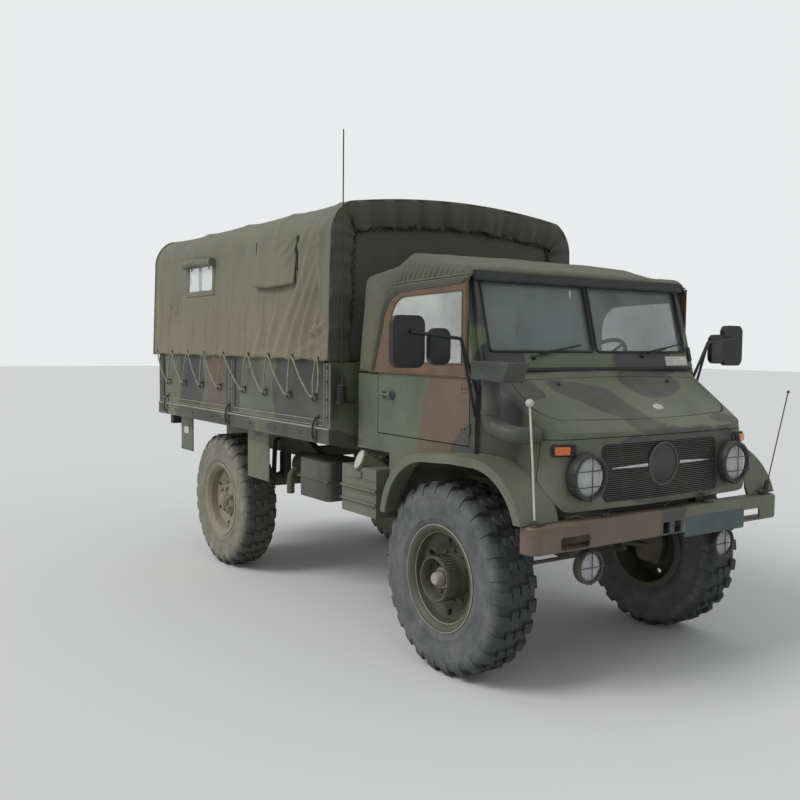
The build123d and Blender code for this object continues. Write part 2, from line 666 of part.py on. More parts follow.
def light_outline(side, shrink):
    """One of the two window openings of the screen."""
    inner, outer = 14 + shrink, 776 - shrink
    low, high = 91 + shrink, SCREEN_HEIGHT - 62 - shrink
    with BuildSketch(screen_plane) as light:
        with BuildLine():
            Polyline(
                (side * inner, low), (side * outer, low), (side * outer, high), (side * inner, high), close=True,
            )
        make_face()
        fillet(light.vertices(), 18)
    return light.sketch


with BuildPart() as windscreen_frame:
    with BuildSketch(screen_plane) as screen_outline:
        with BuildLine():
            Polyline((-834, 0), (834, 0), (812, SCREEN_HEIGHT), (-812, SCREEN_HEIGHT), close=True)
        make_face()
    extrude(screen_outline.sketch, amount=-38)
    for side in (1, -1):
        extrude(light_outline(side, 0), amount=-38, mode=Mode.SUBTRACT)
finish(windscreen_frame, "windscreen_frame")

with BuildPart() as windscreen_glass:
    for side in (1, -1):
        glass_plane_shift = screen_plane.z_dir * -16
        extrude(light_outline(side, 0).moved(Location(glass_plane_shift)), amount=-6)
finish(windscreen_glass, "windscreen_glass")

# Soft top of the cab: a thin cloth shell with side openings and a rear light
TOP_PROFILE = [
    (772, BELT_Z), (868, 2196), (1085, 2304), (1240, 2298), (1800, 2184), (1832, 2162), (1838, 2122), (1838, BELT_Z),
]
with BuildPart() as cab_top:
    prism(side_plane(0), TOP_PROFILE, CAB_HALF_WIDTH + 2, both=True)
    roof_edges = cab_top.edges().filter_by(lambda e: e.center().Z > 2100 and abs(e.center().Y) > 860)
    fillet(roof_edges.filter_by(lambda e: e.center().X < 1820), 42)
    with BuildSketch(side_plane(0)) as lining:
        with BuildLine():
            Polyline(*TOP_PROFILE, close=True)
        make_face()
        offset(amount=-10, mode=Mode.REPLACE, kind=Kind.INTERSECTION)
    extrude(lining.sketch, amount=CAB_HALF_WIDTH - 8, both=True, mode=Mode.SUBTRACT)
    block(790, 1822, 8 - CAB_HALF_WIDTH, CAB_HALF_WIDTH - 8, BELT_Z - 1, 1700, mode=Mode.SUBTRACT)
    block(1780, 1900, -900, 900, BELT_Z - 1, 2120, mode=Mode.SUBTRACT)
    for side in (1, -1):
        opening_plane = side_plane(side * (CAB_HALF_WIDTH + 60))
        extrude(window_outline(opening_plane, DOOR_GAP), amount=side * 120, mode=Mode.SUBTRACT)
    block(700, 900, -360, 360, 1790, 2040, mode=Mode.SUBTRACT)
    block(880, 1900, -900, 900, BELT_Z - 1, BELT_Z + 14, mode=Mode.SUBTRACT)
    block(1500, 1900, -900, 900, BELT_Z - 1, 1800, mode=Mode.SUBTRACT)
finish(cab_top, "cab_top")

# Fenders: a curved strip with a turned-down outer lip
for side_name, side in (("left", 1), ("right", -1)):
    with BuildPart() as fender:
        add(arch_region(0, side * FENDER_HALF_WIDTH, side * 250))
        add(arch_region(-FENDER_SHEET, side * (FENDER_HALF_WIDTH + 10), side * 270), mode=Mode.SUBTRACT)
        with BuildPart(mode=Mode.PRIVATE) as lip:
            add(arch_region(0, side * FENDER_HALF_WIDTH, side * 14))
            add(arch_region(-48, side * (FENDER_HALF_WIDTH + 10), side * 40), mode=Mode.SUBTRACT)
        add(lip.part)
        block(1000, 2500, -1100, 1100, 600, 810, mode=Mode.SUBTRACT)
        block(2300, 2500, -1100, 1100, 600, 925, mode=Mode.SUBTRACT)
        inner_side = sorted((side * 700, side * CAB_HALF_WIDTH))
        block(1000, 1900, *inner_side, 600, 1300, mode=Mode.SUBTRACT)
        add(outer_nose, mode=Mode.SUBTRACT)
    finish(fender, f"fender_{side_name}")

# Lamps at the front: headlamps, driving lamps below the bumper, indicators
with BuildPart() as front_lamps:
    for side in (1, -1):
        rod((2380, side * HEADLAMP_Y, HEADLAMP_Z), (2446, side * HEADLAMP_Y, HEADLAMP_Z), HEADLAMP_RADIUS)
        block(2352, 2412, side * 686 - 55, side * 686 + 55, 1238, 1288)
    add(outer_nose, mode=Mode.SUBTRACT)
    for side in (1, -1):
        rod((2340, side * HEADLAMP_Y, HEADLAMP_Z), (2440, side * HEADLAMP_Y, HEADLAMP_Z), HEADLAMP_RADIUS - 14)
        rod((2346, side * 530, 675), (2420, side * 530, 675), 87)
        rod((2390, side * 530, 760), (2390, side * 530, BUMPER_BOTTOM), 12)
finish(front_lamps, "front_lamps")

# Engine and driveline: one plain block, gear case and two torque tubes
with BuildPart() as engine:
    block(1480, 2180, -230, 230, 900, 1400)
finish(engine, "engine")

with BuildPart() as radiator:
    block(2290, 2350, -330, 330, 960, 1290)
finish(radiator, "radiator")

with BuildPart() as driveline:
    rod((1448, 0, 1002), (1150, 0, 930), 130)
    block(760, 1180, -170, 170, 640, 980)
    rod((1568, 0, AXLE_TUBE_Z + 10), (1150, 0, 720), 50)
    rod((REAR_AXLE_X + 136, 0, AXLE_TUBE_Z + 10), (790, 0, 720), 50)
finish(driveline, "driveline")

# Fuel tank on the right, with its slanted filler; boxes beside it and on the left
with BuildPart() as fuel_tank:
    block(137, 530, -950, -640, 752, 1006)
    fillet(fuel_tank.edges().filter_by(Axis.Z).group_by(Axis.Y)[0], 45)
    block(127, 540, -956, -634, 874, 886)
    block(170, 500, -640, -390, 762, 782)
finish(fuel_tank, "fuel_tank")

with BuildPart() as step_boxes:
    for side in (1, -1):
        low, high = sorted((side * 640, side * 950))
        block(712, 1100, low, high, 740, 1030)
        lip_low, lip_high = sorted((side * 640, side * 962))
        for ridge_z in (820, 900):
            block(706, 1104, lip_low, lip_high, ridge_z - 6, ridge_z + 6)
        bar_low, bar_high = sorted((side * 640, side * 390))
        block(760, 1000, bar_low, bar_high, 820, 850)
    rod((940, -800, 1000), (900, -930, 1066), 55)
    rod((900, -925, 1063), (896, -938, 1070), 62)
finish(step_boxes, "step_boxes")

# Exhaust: silencer under the bed with its bent pipes on the right
with BuildPart() as exhaust:
    rod((-520, -560, 860), (80, -560, 860), 95)
    bent_tube([(-260, -560, 860), (-260, -800, 860), (-260, -800, 690)], 70, 28)
    bent_tube(
        [
            (80, -560, 860), (640, -560, 860), (640, -560, 690), (640, -262, 690),
            (1380, -262, 690), (1380, -262, 1000), (1500, -262, 1000),
        ],
        55, 28,
    )
    block(-30, 0, -560, -390, 850, 872)
finish(exhaust, "exhaust")

with BuildPart() as mud_plates:
    for side in (1, -1):
        low, high = sorted((side * 925, side * 935))
        block(-694, -345, low, high, 770, 1140)
        block(-2050, -1790, low, high, 840, 1140)
finish(mud_plates, "mud_plates")

# Load bed: floor on its rails and cross members, posts and headboard
POST_SPANS = [
    # rear, front, top
    (BED_REAR, BED_REAR + POST_WIDTH, 1700),
    (MID_POST_X - POST_WIDTH / 2, MID_POST_X + POST_WIDTH / 2, 1700),
    (BED_FRONT - FRONT_POST, BED_FRONT, COVER_BOTTOM - 5),
]
with BuildPart() as bed_frame:
    block(BED_REAR, BED_FRONT, -BED_HALF_WIDTH, BED_HALF_WIDTH, BED_BOTTOM, FLOOR_Z)
    block(
        BED_REAR + 60, BED_FRONT - 60, 60 - BED_HALF_WIDTH, BED_HALF_WIDTH - 60, BED_BOTTOM - 1, FLOOR_Z - 30,
        mode=Mode.SUBTRACT,
    )
    for cross_x in range(-2000, 600, 400):
        block(cross_x - 30, cross_x + 30, 60 - BED_HALF_WIDTH, BED_HALF_WIDTH - 60, BED_BOTTOM, FLOOR_Z - 30)
    for side in (1, -1):
        block(BED_REAR + 60, BED_FRONT - 60, side * 360 - 30, side * 360 + 30, 1000, FLOOR_Z - 30)
        low, high = sorted((side * (BOARD_OUTER - 45), side * BOARD_OUTER))
        for post_rear, post_front, post_top in POST_SPANS:
            block(post_rear, post_front, low, high, FLOOR_Z, post_top)
    block(BED_FRONT - 35, BED_FRONT, -BOARD_OUTER, BOARD_OUTER, FLOOR_Z, COVER_BOTTOM - 5)
    block(BED_REAR + 45, BED_FRONT - 40, -930, 930, FLOOR_Z, FLOOR_Z + DECK_THICKNESS)
finish(bed_frame, "bed_frame")

# Drop sides: two framed boards on each side
BOARD_SPANS = [(BED_REAR + 64, MID_POST_X - 34), (MID_POST_X + 34, BED_FRONT - FRONT_POST - 4)]


def framed_board(x0, x1, side):
    """A board with a raised rim round a sunk field on its outer face."""
    low, high = sorted((side * (BOARD_OUTER - BOARD_THICKNESS), side * BOARD_OUTER))
    block(x0, x1, low, high, BOARD_BOTTOM - 7, BOARD_TOP)
    sunk_low, sunk_high = sorted((side * (BOARD_OUTER - 8), side * (BOARD_OUTER + 5)))
    block(x0 + 40, x1 - 40, sunk_low, sunk_high, BOARD_BOTTOM + 40, BOARD_TOP - 40, mode=Mode.SUBTRACT)


with BuildPart() as side_boards:
    for side in (1, -1):
        for board_rear, board_front in BOARD_SPANS:
            framed_board(board_rear, board_front, side)
finish(side_boards, "side_boards")

with BuildPart() as tailgate:
    half = BOARD_OUTER - 45 - DOOR_GAP
    block(BED_REAR, BED_REAR + BOARD_THICKNESS, -half, half, BOARD_BOTTOM, BOARD_TOP)
    block(BED_REAR - 5, BED_REAR + 8, 40 - half, half - 40, BOARD_BOTTOM + 40, BOARD_TOP - 40, mode=Mode.SUBTRACT)
finish(tailgate, "tailgate")

# Canvas cover over the bed: one cloth shell, open at the rear


def cover_outline(plane, inset, top_cut=0, bottom=COVER_BOTTOM):
    """The cover's section: upright sides, rounded shoulders and a low arch."""
    foot, side_top, shoulder = 1036 - inset, 1012 - inset, 880 - inset
    with BuildSketch(plane) as section:
        with BuildLine():
            Polyline((-side_top, 2420), (-foot, bottom), (foot, bottom), (side_top, 2420))
            ThreePointArc((side_top, 2420), (shoulder + 92, 2568 - inset), (shoulder, 2650 - inset - top_cut))
            ThreePointArc((shoulder, 2650 - inset - top_cut), (0, 2720 - inset - top_cut), (-shoulder, 2650 - inset - top_cut))
            ThreePointArc((-shoulder, 2650 - inset - top_cut), (-shoulder - 92, 2568 - inset), (-side_top, 2420))
        make_face()
    return section.sketch


COVER_LENGTH = COVER_FRONT - COVER_REAR
with BuildPart() as canvas_cover:
    extrude(cover_outline(Plane.YZ.offset(COVER_REAR), 0), amount=COVER_LENGTH)
    inner_from = COVER_REAR - 1
    extrude(
        cover_outline(Plane.YZ.offset(inner_from), COVER_SHEET, bottom=COVER_BOTTOM - 20),
        amount=COVER_LENGTH - 60, mode=Mode.SUBTRACT,
    )
    extrude(
        cover_outline(Plane.YZ.offset(COVER_FRONT - 50), 170, bottom=COVER_BOTTOM - 20),
        amount=60, mode=Mode.SUBTRACT,
    )
finish(canvas_cover, "canvas_cover")

HOOP_X = [-2280, -1560, -820, -80, 560]
with BuildPart() as cover_hoops:
    for hoop_x in HOOP_X:
        hoop_path = [
            (hoop_x, -955, 1500), (hoop_x, -955, 2420), (hoop_x, -800, 2625), (hoop_x, 0, 2680),
            (hoop_x, 800, 2625), (hoop_x, 955, 2420), (hoop_x, 955, 1500),
        ]
        bent_tube(hoop_path, 110, 14)
finish(cover_hoops, "cover_hoops")

# Cab fittings
with BuildPart() as seats:
    for seat_y in (-520, 520):
        block(920, 1420, seat_y - 220, seat_y + 220, 1330, 1430)
        block(850, 945, seat_y - 210, seat_y + 210, 1400, 1880)
        block(960, 1380, seat_y - 150, seat_y + 150, CAB_FLOOR_Z + FLOOR_SHEET, 1330)
finish(seats, "seats")

with BuildPart() as steering_wheel:
    wheel_centre = Vector(1480, 470, 1660)
    column_foot = Vector(1860, 470, 1300)
    wheel_plane = Plane(origin=wheel_centre, z_dir=wheel_centre - column_foot)
    with BuildSketch(Plane(origin=wheel_plane.origin, x_dir=wheel_plane.x_dir, z_dir=wheel_plane.y_dir)) as grip:
        with Locations((205, 0)):
            Circle(13)
    revolve(grip.sketch, axis=Axis(origin=wheel_plane.origin, direction=wheel_plane.z_dir))
    rod(tuple(wheel_centre), tuple(column_foot), 22)
    for spoke_angle in (90, 210, 330):
        direction = wheel_plane.x_dir * cos(radians(spoke_angle)) + wheel_plane.y_dir * sin(radians(spoke_angle))
        rod(tuple(wheel_centre), tuple(wheel_centre + direction * 205), 9)
finish(steering_wheel, "steering_wheel")

# Mirrors: two heads on one bent arm each side
with BuildPart() as mirrors:
    for side in (1, -1):
        for y0, y1, z0, z1, x0 in ((1188, 1379, 1653, 1911, 1862), (1041, 1168, 1667, 1851, 1880)):
            low, high = sorted((side * y0, side * y1))
            with BuildSketch(Plane.YZ.offset(x0)) as head:
                with Locations(((low + high) / 2, (z0 + z1) / 2)):
                    RectangleRounded(high - low, z1 - z0, 45)
            extrude(head.sketch, amount=34)
        knee = (1925, side * 985, 1800)
        rod((1895, side * 850, 1520), knee, 9)
        rod((1895, side * 862, 1400), knee, 8)
        rod(knee, (1900, side * 1280, 1830), 9)
    add(outer_nose, mode=Mode.SUBTRACT)
    block(1700, 1900, -CAB_HALF_WIDTH, CAB_HALF_WIDTH, CAB_FLOOR_Z, BELT_Z, mode=Mode.SUBTRACT)
finish(mirrors, "mirrors")

# Air intake: head box, upright pipe and the elbow into the nose's side
with BuildPart() as air_intake:
    prism(
        side_plane(-900), [(2062, 1600), (2062, 1690), (2340, 1684), (2300, 1590), (2180, 1600)], 130,
    )
    bent_tube([(2122, -950, 1620), (2122, -950, 1370), (2290, -930, 1335), (2290, -800, 1335)], 60, 44)
    add(outer_nose, mode=Mode.SUBTRACT)
finish(air_intake, "air_intake")

# Antenna: whip on an insulator, on a bracket at the cab's rear corner
with BuildPart() as antenna:
    block(716, CAB_REAR, -1000, -820, 1400, 1412)
    rod((735, -970, 1412), (735, -970, 1510), 26)
    rod((735, -970, 1510), (735, -970, 3063), 4)
finish(antenna, "antenna")

# Rear: towing jaw with its pin hole, and tail lamps
with BuildPart() as tow_coupling:
    block(-2345, -2330, -120, 120, 880, 1000)
    block(-2390, -2345, -50, 50, 895, 985)
    block(-2460, -2390, -70, 70, 955, 985)
    block(-2460, -2390, -70, 70, 885, 915)
    block(-2400, -2385, -70, 70, 885, 985)
    rod((-2428, 0, 800), (-2428, 0, 1100), 20.5, mode=Mode.SUBTRACT)
finish(tow_coupling, "tow_coupling")

with BuildPart() as tail_lamps:
    for side in (1, -1):
        low, high = sorted((side * 760, side * 920))
        block(BED_REAR - 5, BED_REAR + 60, low, high, 1040, BED_BOTTOM)
finish(tail_lamps, "tail_lamps")
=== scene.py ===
import json
import math
from bisect import bisect_right

import bmesh
import bpy
from mathutils import Matrix, Vector, noise


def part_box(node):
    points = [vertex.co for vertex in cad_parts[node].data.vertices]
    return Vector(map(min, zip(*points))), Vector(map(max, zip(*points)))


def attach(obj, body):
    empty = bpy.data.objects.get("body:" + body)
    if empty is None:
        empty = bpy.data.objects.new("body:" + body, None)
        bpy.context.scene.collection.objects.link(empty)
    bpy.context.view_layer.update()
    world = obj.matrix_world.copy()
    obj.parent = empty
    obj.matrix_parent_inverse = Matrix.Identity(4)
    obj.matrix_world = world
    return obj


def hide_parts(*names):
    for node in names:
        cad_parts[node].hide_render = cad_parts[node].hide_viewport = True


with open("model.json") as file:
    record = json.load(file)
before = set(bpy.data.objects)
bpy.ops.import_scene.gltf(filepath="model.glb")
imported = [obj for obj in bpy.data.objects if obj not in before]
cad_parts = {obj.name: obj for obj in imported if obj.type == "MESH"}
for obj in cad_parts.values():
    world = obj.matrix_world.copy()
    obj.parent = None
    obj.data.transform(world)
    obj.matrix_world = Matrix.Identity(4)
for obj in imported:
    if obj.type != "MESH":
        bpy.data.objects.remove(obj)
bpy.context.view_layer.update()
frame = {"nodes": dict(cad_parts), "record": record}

RECORD = frame["record"]
BODY_OF = {node: body for body, nodes in RECORD["behaviour"]["bodies"].items() for node in nodes}
SLOT_OF = {row["node"]: row["material_slot"] for row in RECORD["subparts"]}
JOINT_AT = {joint["name"]: Vector(joint["pos_m"]) for joint in RECORD["behaviour"]["joints"]}
RIGHT, LEFT = -1, 1
SIDES = ((RIGHT, "right"), (LEFT, "left"))


# Camera, light and floor

CAMERA_PLACE = Vector((5.518, -3.823, 1.768))
CAMERA_AZIMUTH = math.radians(55.5)
CAMERA_ELEVATION = math.radians(3.52)
CAMERA_ROLL = math.radians(0.608)
CAMERA_LENS_MM = 40.71
SURROUND_STRENGTH, BACKDROP_STRENGTH = 0.66, 1.0
KEY_FROM = Vector((-0.25, -1.0, 1.05))
KEY_STRENGTH = 1.5
KEY_SPREAD = math.radians(28)


def set_camera():
    """The camera at the photograph's place, looking level along the truck from its front right."""
    back = Vector((
        math.sin(CAMERA_AZIMUTH) * math.cos(CAMERA_ELEVATION),
        -math.cos(CAMERA_AZIMUTH) * math.cos(CAMERA_ELEVATION),
        math.sin(CAMERA_ELEVATION),
    ))
    right = Vector((math.cos(CAMERA_AZIMUTH), math.sin(CAMERA_AZIMUTH), 0))
    turn = Matrix((right, back.cross(right), back)).transposed() @ Matrix.Rotation(CAMERA_ROLL, 3, "Z")
    data = bpy.data.cameras.new("camera")
    data.lens = CAMERA_LENS_MM
    data.sensor_width = 36
    data.clip_end = 200
    camera = bpy.data.objects.new("camera", data)
    camera.matrix_world = Matrix.Translation(CAMERA_PLACE) @ turn.to_4x4()
    bpy.context.collection.objects.link(camera)
    bpy.context.scene.camera = camera


def linear(code):
    """An sRGB hex colour as the linear values that shaders take."""
    parts = [int(code[place:place + 2], 16) / 255 for place in (1, 3, 5)]
    return [*(v / 12.92 if v <= 0.04045 else ((v + 0.055) / 1.055) ** 2.4 for v in parts), 1.0]


def give(tree, node, inputs):
    """Fill or link a node's inputs."""
    for name, value in inputs.items():
        if isinstance(value, bpy.types.NodeSocket):
            tree.links.new(value, node.inputs[name])
        else:
            node.inputs[name].default_value = value


def add_node(tree, kind, inputs=None, **settings):
    """Add a node, set its properties, and fill or link its inputs."""
    node = tree.nodes.new(kind)
    for name, value in settings.items():
        setattr(node, name, value)
    give(tree, node, inputs or {})
    return node


def worked(tree, operation, first, second, kind="ShaderNodeMath", **settings):
    """Two values worked together by one sum."""
    return add_node(tree, kind, {0: first, 1: second}, operation=operation, **settings).outputs[0]


def set_light():
    """Even pale surroundings with one broad soft light from the truck's right."""
    world = bpy.data.worlds.new("studio")
    bpy.context.scene.world = world
    world.use_nodes = True
    tree = world.node_tree
    surround = tree.nodes["Background"]
    give(tree, surround, {"Color": linear("#F4F6F8"), "Strength": SURROUND_STRENGTH})
    backdrop = add_node(tree, "ShaderNodeBackground", {"Color": linear("#E9EBEC"), "Strength": BACKDROP_STRENGTH})
    rays = add_node(tree, "ShaderNodeLightPath")
    chosen = add_node(tree, "ShaderNodeMixShader", {
        0: rays.outputs["Is Camera Ray"], 1: surround.outputs[0], 2: backdrop.outputs[0],
    })
    tree.links.new(chosen.outputs[0], tree.nodes["World Output"].inputs["Surface"])
    sun = bpy.data.lights.new("key", "SUN")
    sun.energy = KEY_STRENGTH
    sun.angle = KEY_SPREAD
    lamp = bpy.data.objects.new("key", sun)
    lamp.matrix_world = KEY_FROM.to_track_quat("Z", "Y").to_matrix().to_4x4()
    bpy.context.collection.objects.link(lamp)
    bpy.context.scene.view_settings.view_transform = "Standard"


# Finishes

MIX_FACTOR, MIX_A, MIX_B, MIX_RESULT = 0, 6, 7, 2
VECTOR_MATH = "ShaderNodeVectorMath"
DUST = "#8F8873"


def new_material(name):
    """A new material with its tree, its shader and the object coordinates."""
    material = bpy.data.materials.new(name)
    material.use_nodes = True
    tree = material.node_tree
    where = add_node(tree, "ShaderNodeTexCoord").outputs["Object"]
    return material, tree, tree.nodes["Principled BSDF"], where


def mixed(tree, factor, low, high):
    """A colour between two, each a socket or an sRGB hex code."""
    low, high = (linear(value) if isinstance(value, str) else value for value in (low, high))
    node = add_node(tree, "ShaderNodeMix", {MIX_FACTOR: factor, MIX_A: low, MIX_B: high}, data_type="RGBA")
    return node.outputs[MIX_RESULT]


def ranged(tree, value, from_low, from_high, to_low=0.0, to_high=1.0):
    """A value stretched from one range to another and held inside it."""
    return add_node(tree, "ShaderNodeMapRange", {
        "Value": value, "From Min": from_low, "From Max": from_high, "To Min": to_low, "To Max": to_high,
    }).outputs["Result"]


def speckle(tree, where, grain, detail=4.0, stretch=(1, 1, 1)):
    """Noise whose patches are about one grain across, in metres, drawn out along any axis by stretch."""
    size = [1 / (3 * grain * part) for part in stretch]
    return add_node(tree, "ShaderNodeTexNoise", {
        "Vector": worked(tree, "MULTIPLY", where, size, VECTOR_MATH), "Scale": 1.0, "Detail": detail, "Roughness": 0.6,
    }).outputs["Fac"]


def ribbed(tree, where, spacing, direction="Y", wander=0.0):
    """Even ribs this far apart, in metres, along one direction."""
    return add_node(tree, "ShaderNodeTexWave", {
        "Vector": where, "Scale": 2 * math.pi / (spacing * 20), "Distortion": wander,
    }, bands_direction=direction).outputs["Fac"]


def part_of(tree, vector, axis):
    """One coordinate of a vector."""
    return add_node(tree, "ShaderNodeSeparateXYZ", {0: vector}).outputs[axis]


def dusted(tree, colour, where, amount):
    """Road dust over a colour: thick near the ground, and lying on what faces up. Also gives its cover."""
    splashed = ranged(tree, part_of(tree, where, "Z"), 0.35, 1.6, amount, amount * 0.12)
    outward = add_node(tree, "ShaderNodeNewGeometry").outputs["Normal"]
    lying = ranged(tree, part_of(tree, outward, "Z"), 0.3, 1.0, 0.0, amount * 0.45)
    drift = ranged(tree, speckle(tree, where, 0.09, 5.0), 0.32, 0.7, 0.35, 1.3)
    cover = worked(tree, "MULTIPLY", worked(tree, "ADD", splashed, lying), drift, use_clamp=True)
    return mixed(tree, cover, colour, DUST), cover


def bump(tree, shader, height, depth):
    """Give a shader a surface relief of this depth in metres."""
    relief = add_node(tree, "ShaderNodeBump", {"Height": height, "Distance": depth, "Strength": 1.0})
    tree.links.new(relief.outputs["Normal"], shader.inputs["Normal"])


def weathered(name, fresh, worn, grain, rough, depth=0.0004, metallic=0.0, dust=0.2):
    """A plain finish: two shades in patches, uneven gloss, fine relief and road dust."""
    material, tree, shader, where = new_material(name)
    patches = ranged(tree, speckle(tree, where, grain, 6.0), 0.35, 0.65)
    colour, cover = dusted(tree, mixed(tree, patches, fresh, worn), where, dust)
    gloss = ranged(tree, speckle(tree, where, grain * 2.5), 0.3, 0.7, *rough)
    matt = worked(tree, "MAXIMUM", gloss, cover)
    give(tree, shader, {"Base Color": colour, "Roughness": matt, "Metallic": metallic})
    bump(tree, shader, speckle(tree, where, grain * 0.25, 3.0), depth)
    return material


# Camouflage patches of the cab, mask and bed: centre, half lengths and, if turned, degrees about each axis
BODY_BROWN = [
    ((1.645, -0.88, 1.41), (0.205, 0.35, 0.40), (0, 20, 0)),
    ((-1.13, -1.03, 1.45), (0.18, 0.30, 0.55), (0, -8, 0)),
    ((1.25, 0.88, 1.40), (0.24, 0.30, 0.40), (0, -25, 0)),
    ((-0.25, 1.03, 1.45), (0.34, 0.30, 0.50), (0, 15, 0)),
    ((-2.36, 0.45, 1.45), (0.30, 0.30, 0.42), (20, 0, 0)),
]
BODY_BLACK = [
    # These two black patches on the cowl and the nose's right side: camouflage black on the cowl, and painted shade
    # over the nose side
    ((2.03, -0.90, 1.40), (0.18, 0.25, 0.47)),
    ((1.90, -0.90, 1.21), (0.19, 0.25, 0.15)),
    ((2.45, 0.16, 1.14), (0.30, 0.56, 0.20)),
    ((2.45, -0.22, 1.15), (0.30, 0.23, 0.17)),
    ((2.45, 0.45, 1.15), (0.30, 0.30, 0.17)),
    ((2.17, -0.24, 1.49), (0.30, 0.10, 0.40), (0, 0, 57)),
    ((2.35, -0.06, 1.39), (0.07, 0.15, 0.10)),
    ((2.34, 0.60, 1.39), (0.05, 0.17, 0.06)),
    ((2.04, 0.31, 1.56), (0.13, 0.235, 0.30)),
    ((2.05, -0.69, 1.57), (0.10, 0.13, 0.20)),
    ((1.92, 0.40, 1.69), (0.10, 0.25, 0.12)),
    ((1.92, -0.72, 1.69), (0.10, 0.19, 0.12)),
    ((1.85, 0.0, 2.15), (0.30, 1.20, 0.40)),
    ((-1.63, -1.03, 1.47), (0.27, 0.30, 0.42), (0, 6, 0)),
    ((0.30, -1.03, 1.45), (0.42, 0.30, 0.36)),
    ((-0.78, -1.03, 1.45), (0.15, 0.30, 0.42)),
    ((-2.34, -1.03, 1.45), (0.13, 0.30, 0.42)),
    ((-0.55, -1.03, 1.17), (0.16, 0.30, 0.07)),
    ((0.35, -1.03, 1.17), (0.55, 0.30, 0.07)),
    ((-1.35, -1.03, 1.17), (0.60, 0.30, 0.07)),
    ((0.70, 0.88, 1.35), (0.22, 0.30, 0.40), (0, 10, 0)),
    ((1.75, 0.88, 1.45), (0.20, 0.30, 0.30)),
    ((-1.50, 1.03, 1.45), (0.40, 0.30, 0.40), (0, -20, 0)),
    ((-2.36, -0.45, 1.40), (0.30, 0.35, 0.38), (-15, 0, 0)),
]
BUMPER_BROWN = [((2.42, -0.62, 0.85), (0.50, 0.57, 0.50))]
BUMPER_BLACK = [((2.42, 0.03, 0.85), (0.50, 0.09, 0.50))]


def patch_cover(tree, where, patches):
    """How far inside the nearest patch a point is: 1 inside, 0 outside, with a sprayed edge."""
    nearest = None
    for centre, half, *turn in patches:
        placed = add_node(tree, "ShaderNodeMapping", {
            "Vector": where, "Location": centre, "Scale": half,
            "Rotation": [math.radians(angle) for angle in (turn[0] if turn else (0, 0, 0))],
        }, vector_type="TEXTURE")
        reach = add_node(tree, VECTOR_MATH, {0: placed.outputs[0]}, operation="LENGTH").outputs["Value"]
        nearest = worked(tree, "MINIMUM", nearest, reach) if nearest else reach
    return ranged(tree, nearest, 0.97, 1.03, 1.0, 0.0)


def camouflage_enamel(name, browns, blacks):
    """Matt sprayed enamel in three colours on sheet steel: chalky, faded and dusty low down."""
    material, tree, shader, where = new_material(name)
    drift = add_node(tree, "ShaderNodeTexNoise", {"Vector": where, "Scale": 3.2, "Detail": 1.5})
    centred = worked(tree, "SUBTRACT", drift.outputs["Color"], (0.5, 0.5, 0.5), VECTOR_MATH)
    shifted = worked(tree, "MULTIPLY", centred, (0.16, 0.16, 0.16), VECTOR_MATH)
    warped = worked(tree, "ADD", where, shifted, VECTOR_MATH)
    fade = ranged(tree, speckle(tree, where, 0.16, 5.0), 0.35, 0.7)
    colour = mixed(tree, fade, "#4D5443", "#656C59")
    brown = mixed(tree, fade, "#5A483B", "#6E5B4D")
    black = mixed(tree, fade, "#303332", "#454845")
    if browns:
        colour = mixed(tree, patch_cover(tree, warped, browns), colour, brown)
    if blacks:
        colour = mixed(tree, patch_cover(tree, warped, blacks), colour, black)
    scuff = ranged(tree, speckle(tree, where, 0.012, 8.0), 0.68, 0.74, 0.0, 0.35)
    colour = mixed(tree, scuff, colour, "#8B8B7C")
    colour, _ = dusted(tree, colour, where, 0.3)
    gloss = ranged(tree, speckle(tree, where, 0.07), 0.3, 0.7, 0.42, 0.62)
    give(tree, shader, {"Base Color": colour, "Roughness": gloss})
    bump(tree, shader, speckle(tree, where, 0.006, 3.0), 0.0005)
    return material


def rubber_tyre(name, film_colour, least, most):
    """Carbon-black rubber: dark worn tread, sidewalls under dried mud and bloom."""
    material, tree, shader, where = new_material(name)
    bloom = add_node(tree, "ShaderNodeAttribute", attribute_name="sidewall").outputs["Fac"]
    film = ranged(tree, speckle(tree, where, 0.03, 7.0), 0.3, 0.7, least, most)
    film = worked(tree, "MULTIPLY", film, bloom, use_clamp=True)
    base = mixed(tree, speckle(tree, where, 0.01), "#26282A", "#37393A")
    give(tree, shader, {"Base Color": mixed(tree, film, base, film_colour), "Roughness": 0.82})
    bump(tree, shader, speckle(tree, where, 0.004, 4.0), 0.0008)
    return material


def cotton_canvas(name, lit, shaded, stain):
    """Proofed cotton duck: plain weave and rain streaks down the sides, with painted light: a lit colour on top and a
    shaded colour lower down.

    The real thread is about 0.6 mm; the weave is drawn at 5 mm so that it shows.
    """
    material, tree, shader, where = new_material(name)
    sheet = add_node(tree, "ShaderNodeUVMap").outputs["UV"]
    wefts, warps = (ribbed(tree, sheet, 0.005, direction, 0.6) for direction in "XY")
    weave = worked(tree, "ADD", wefts, warps)
    streaks = speckle(tree, where, 0.05, 5.0, (0.6, 0.6, 6.0))
    blotches = speckle(tree, where, 0.22, 5.0)
    # Painted light: the shaded colour low down turns into the lit colour between 1.7 and 2.5 m up
    colour = mixed(tree, ranged(tree, part_of(tree, where, "Z"), 1.7, 2.5), shaded, lit)
    colour = mixed(tree, ranged(tree, streaks, 0.38, 0.72, 0.0, 0.55), colour, stain)
    colour = mixed(tree, ranged(tree, blotches, 0.4, 0.75, 0.0, 0.4), colour, "#55564A")
    give(tree, shader, {
        "Base Color": colour, "Roughness": ranged(tree, streaks, 0.3, 0.7, 0.78, 0.92),
        "Sheen Weight": 0.08, "Sheen Roughness": 0.5,
    })
    creases = speckle(tree, where, 0.025, 6.0)
    bump(tree, shader, worked(tree, "ADD", worked(tree, "MULTIPLY", weave, 0.12), creases), 0.004)
    return material


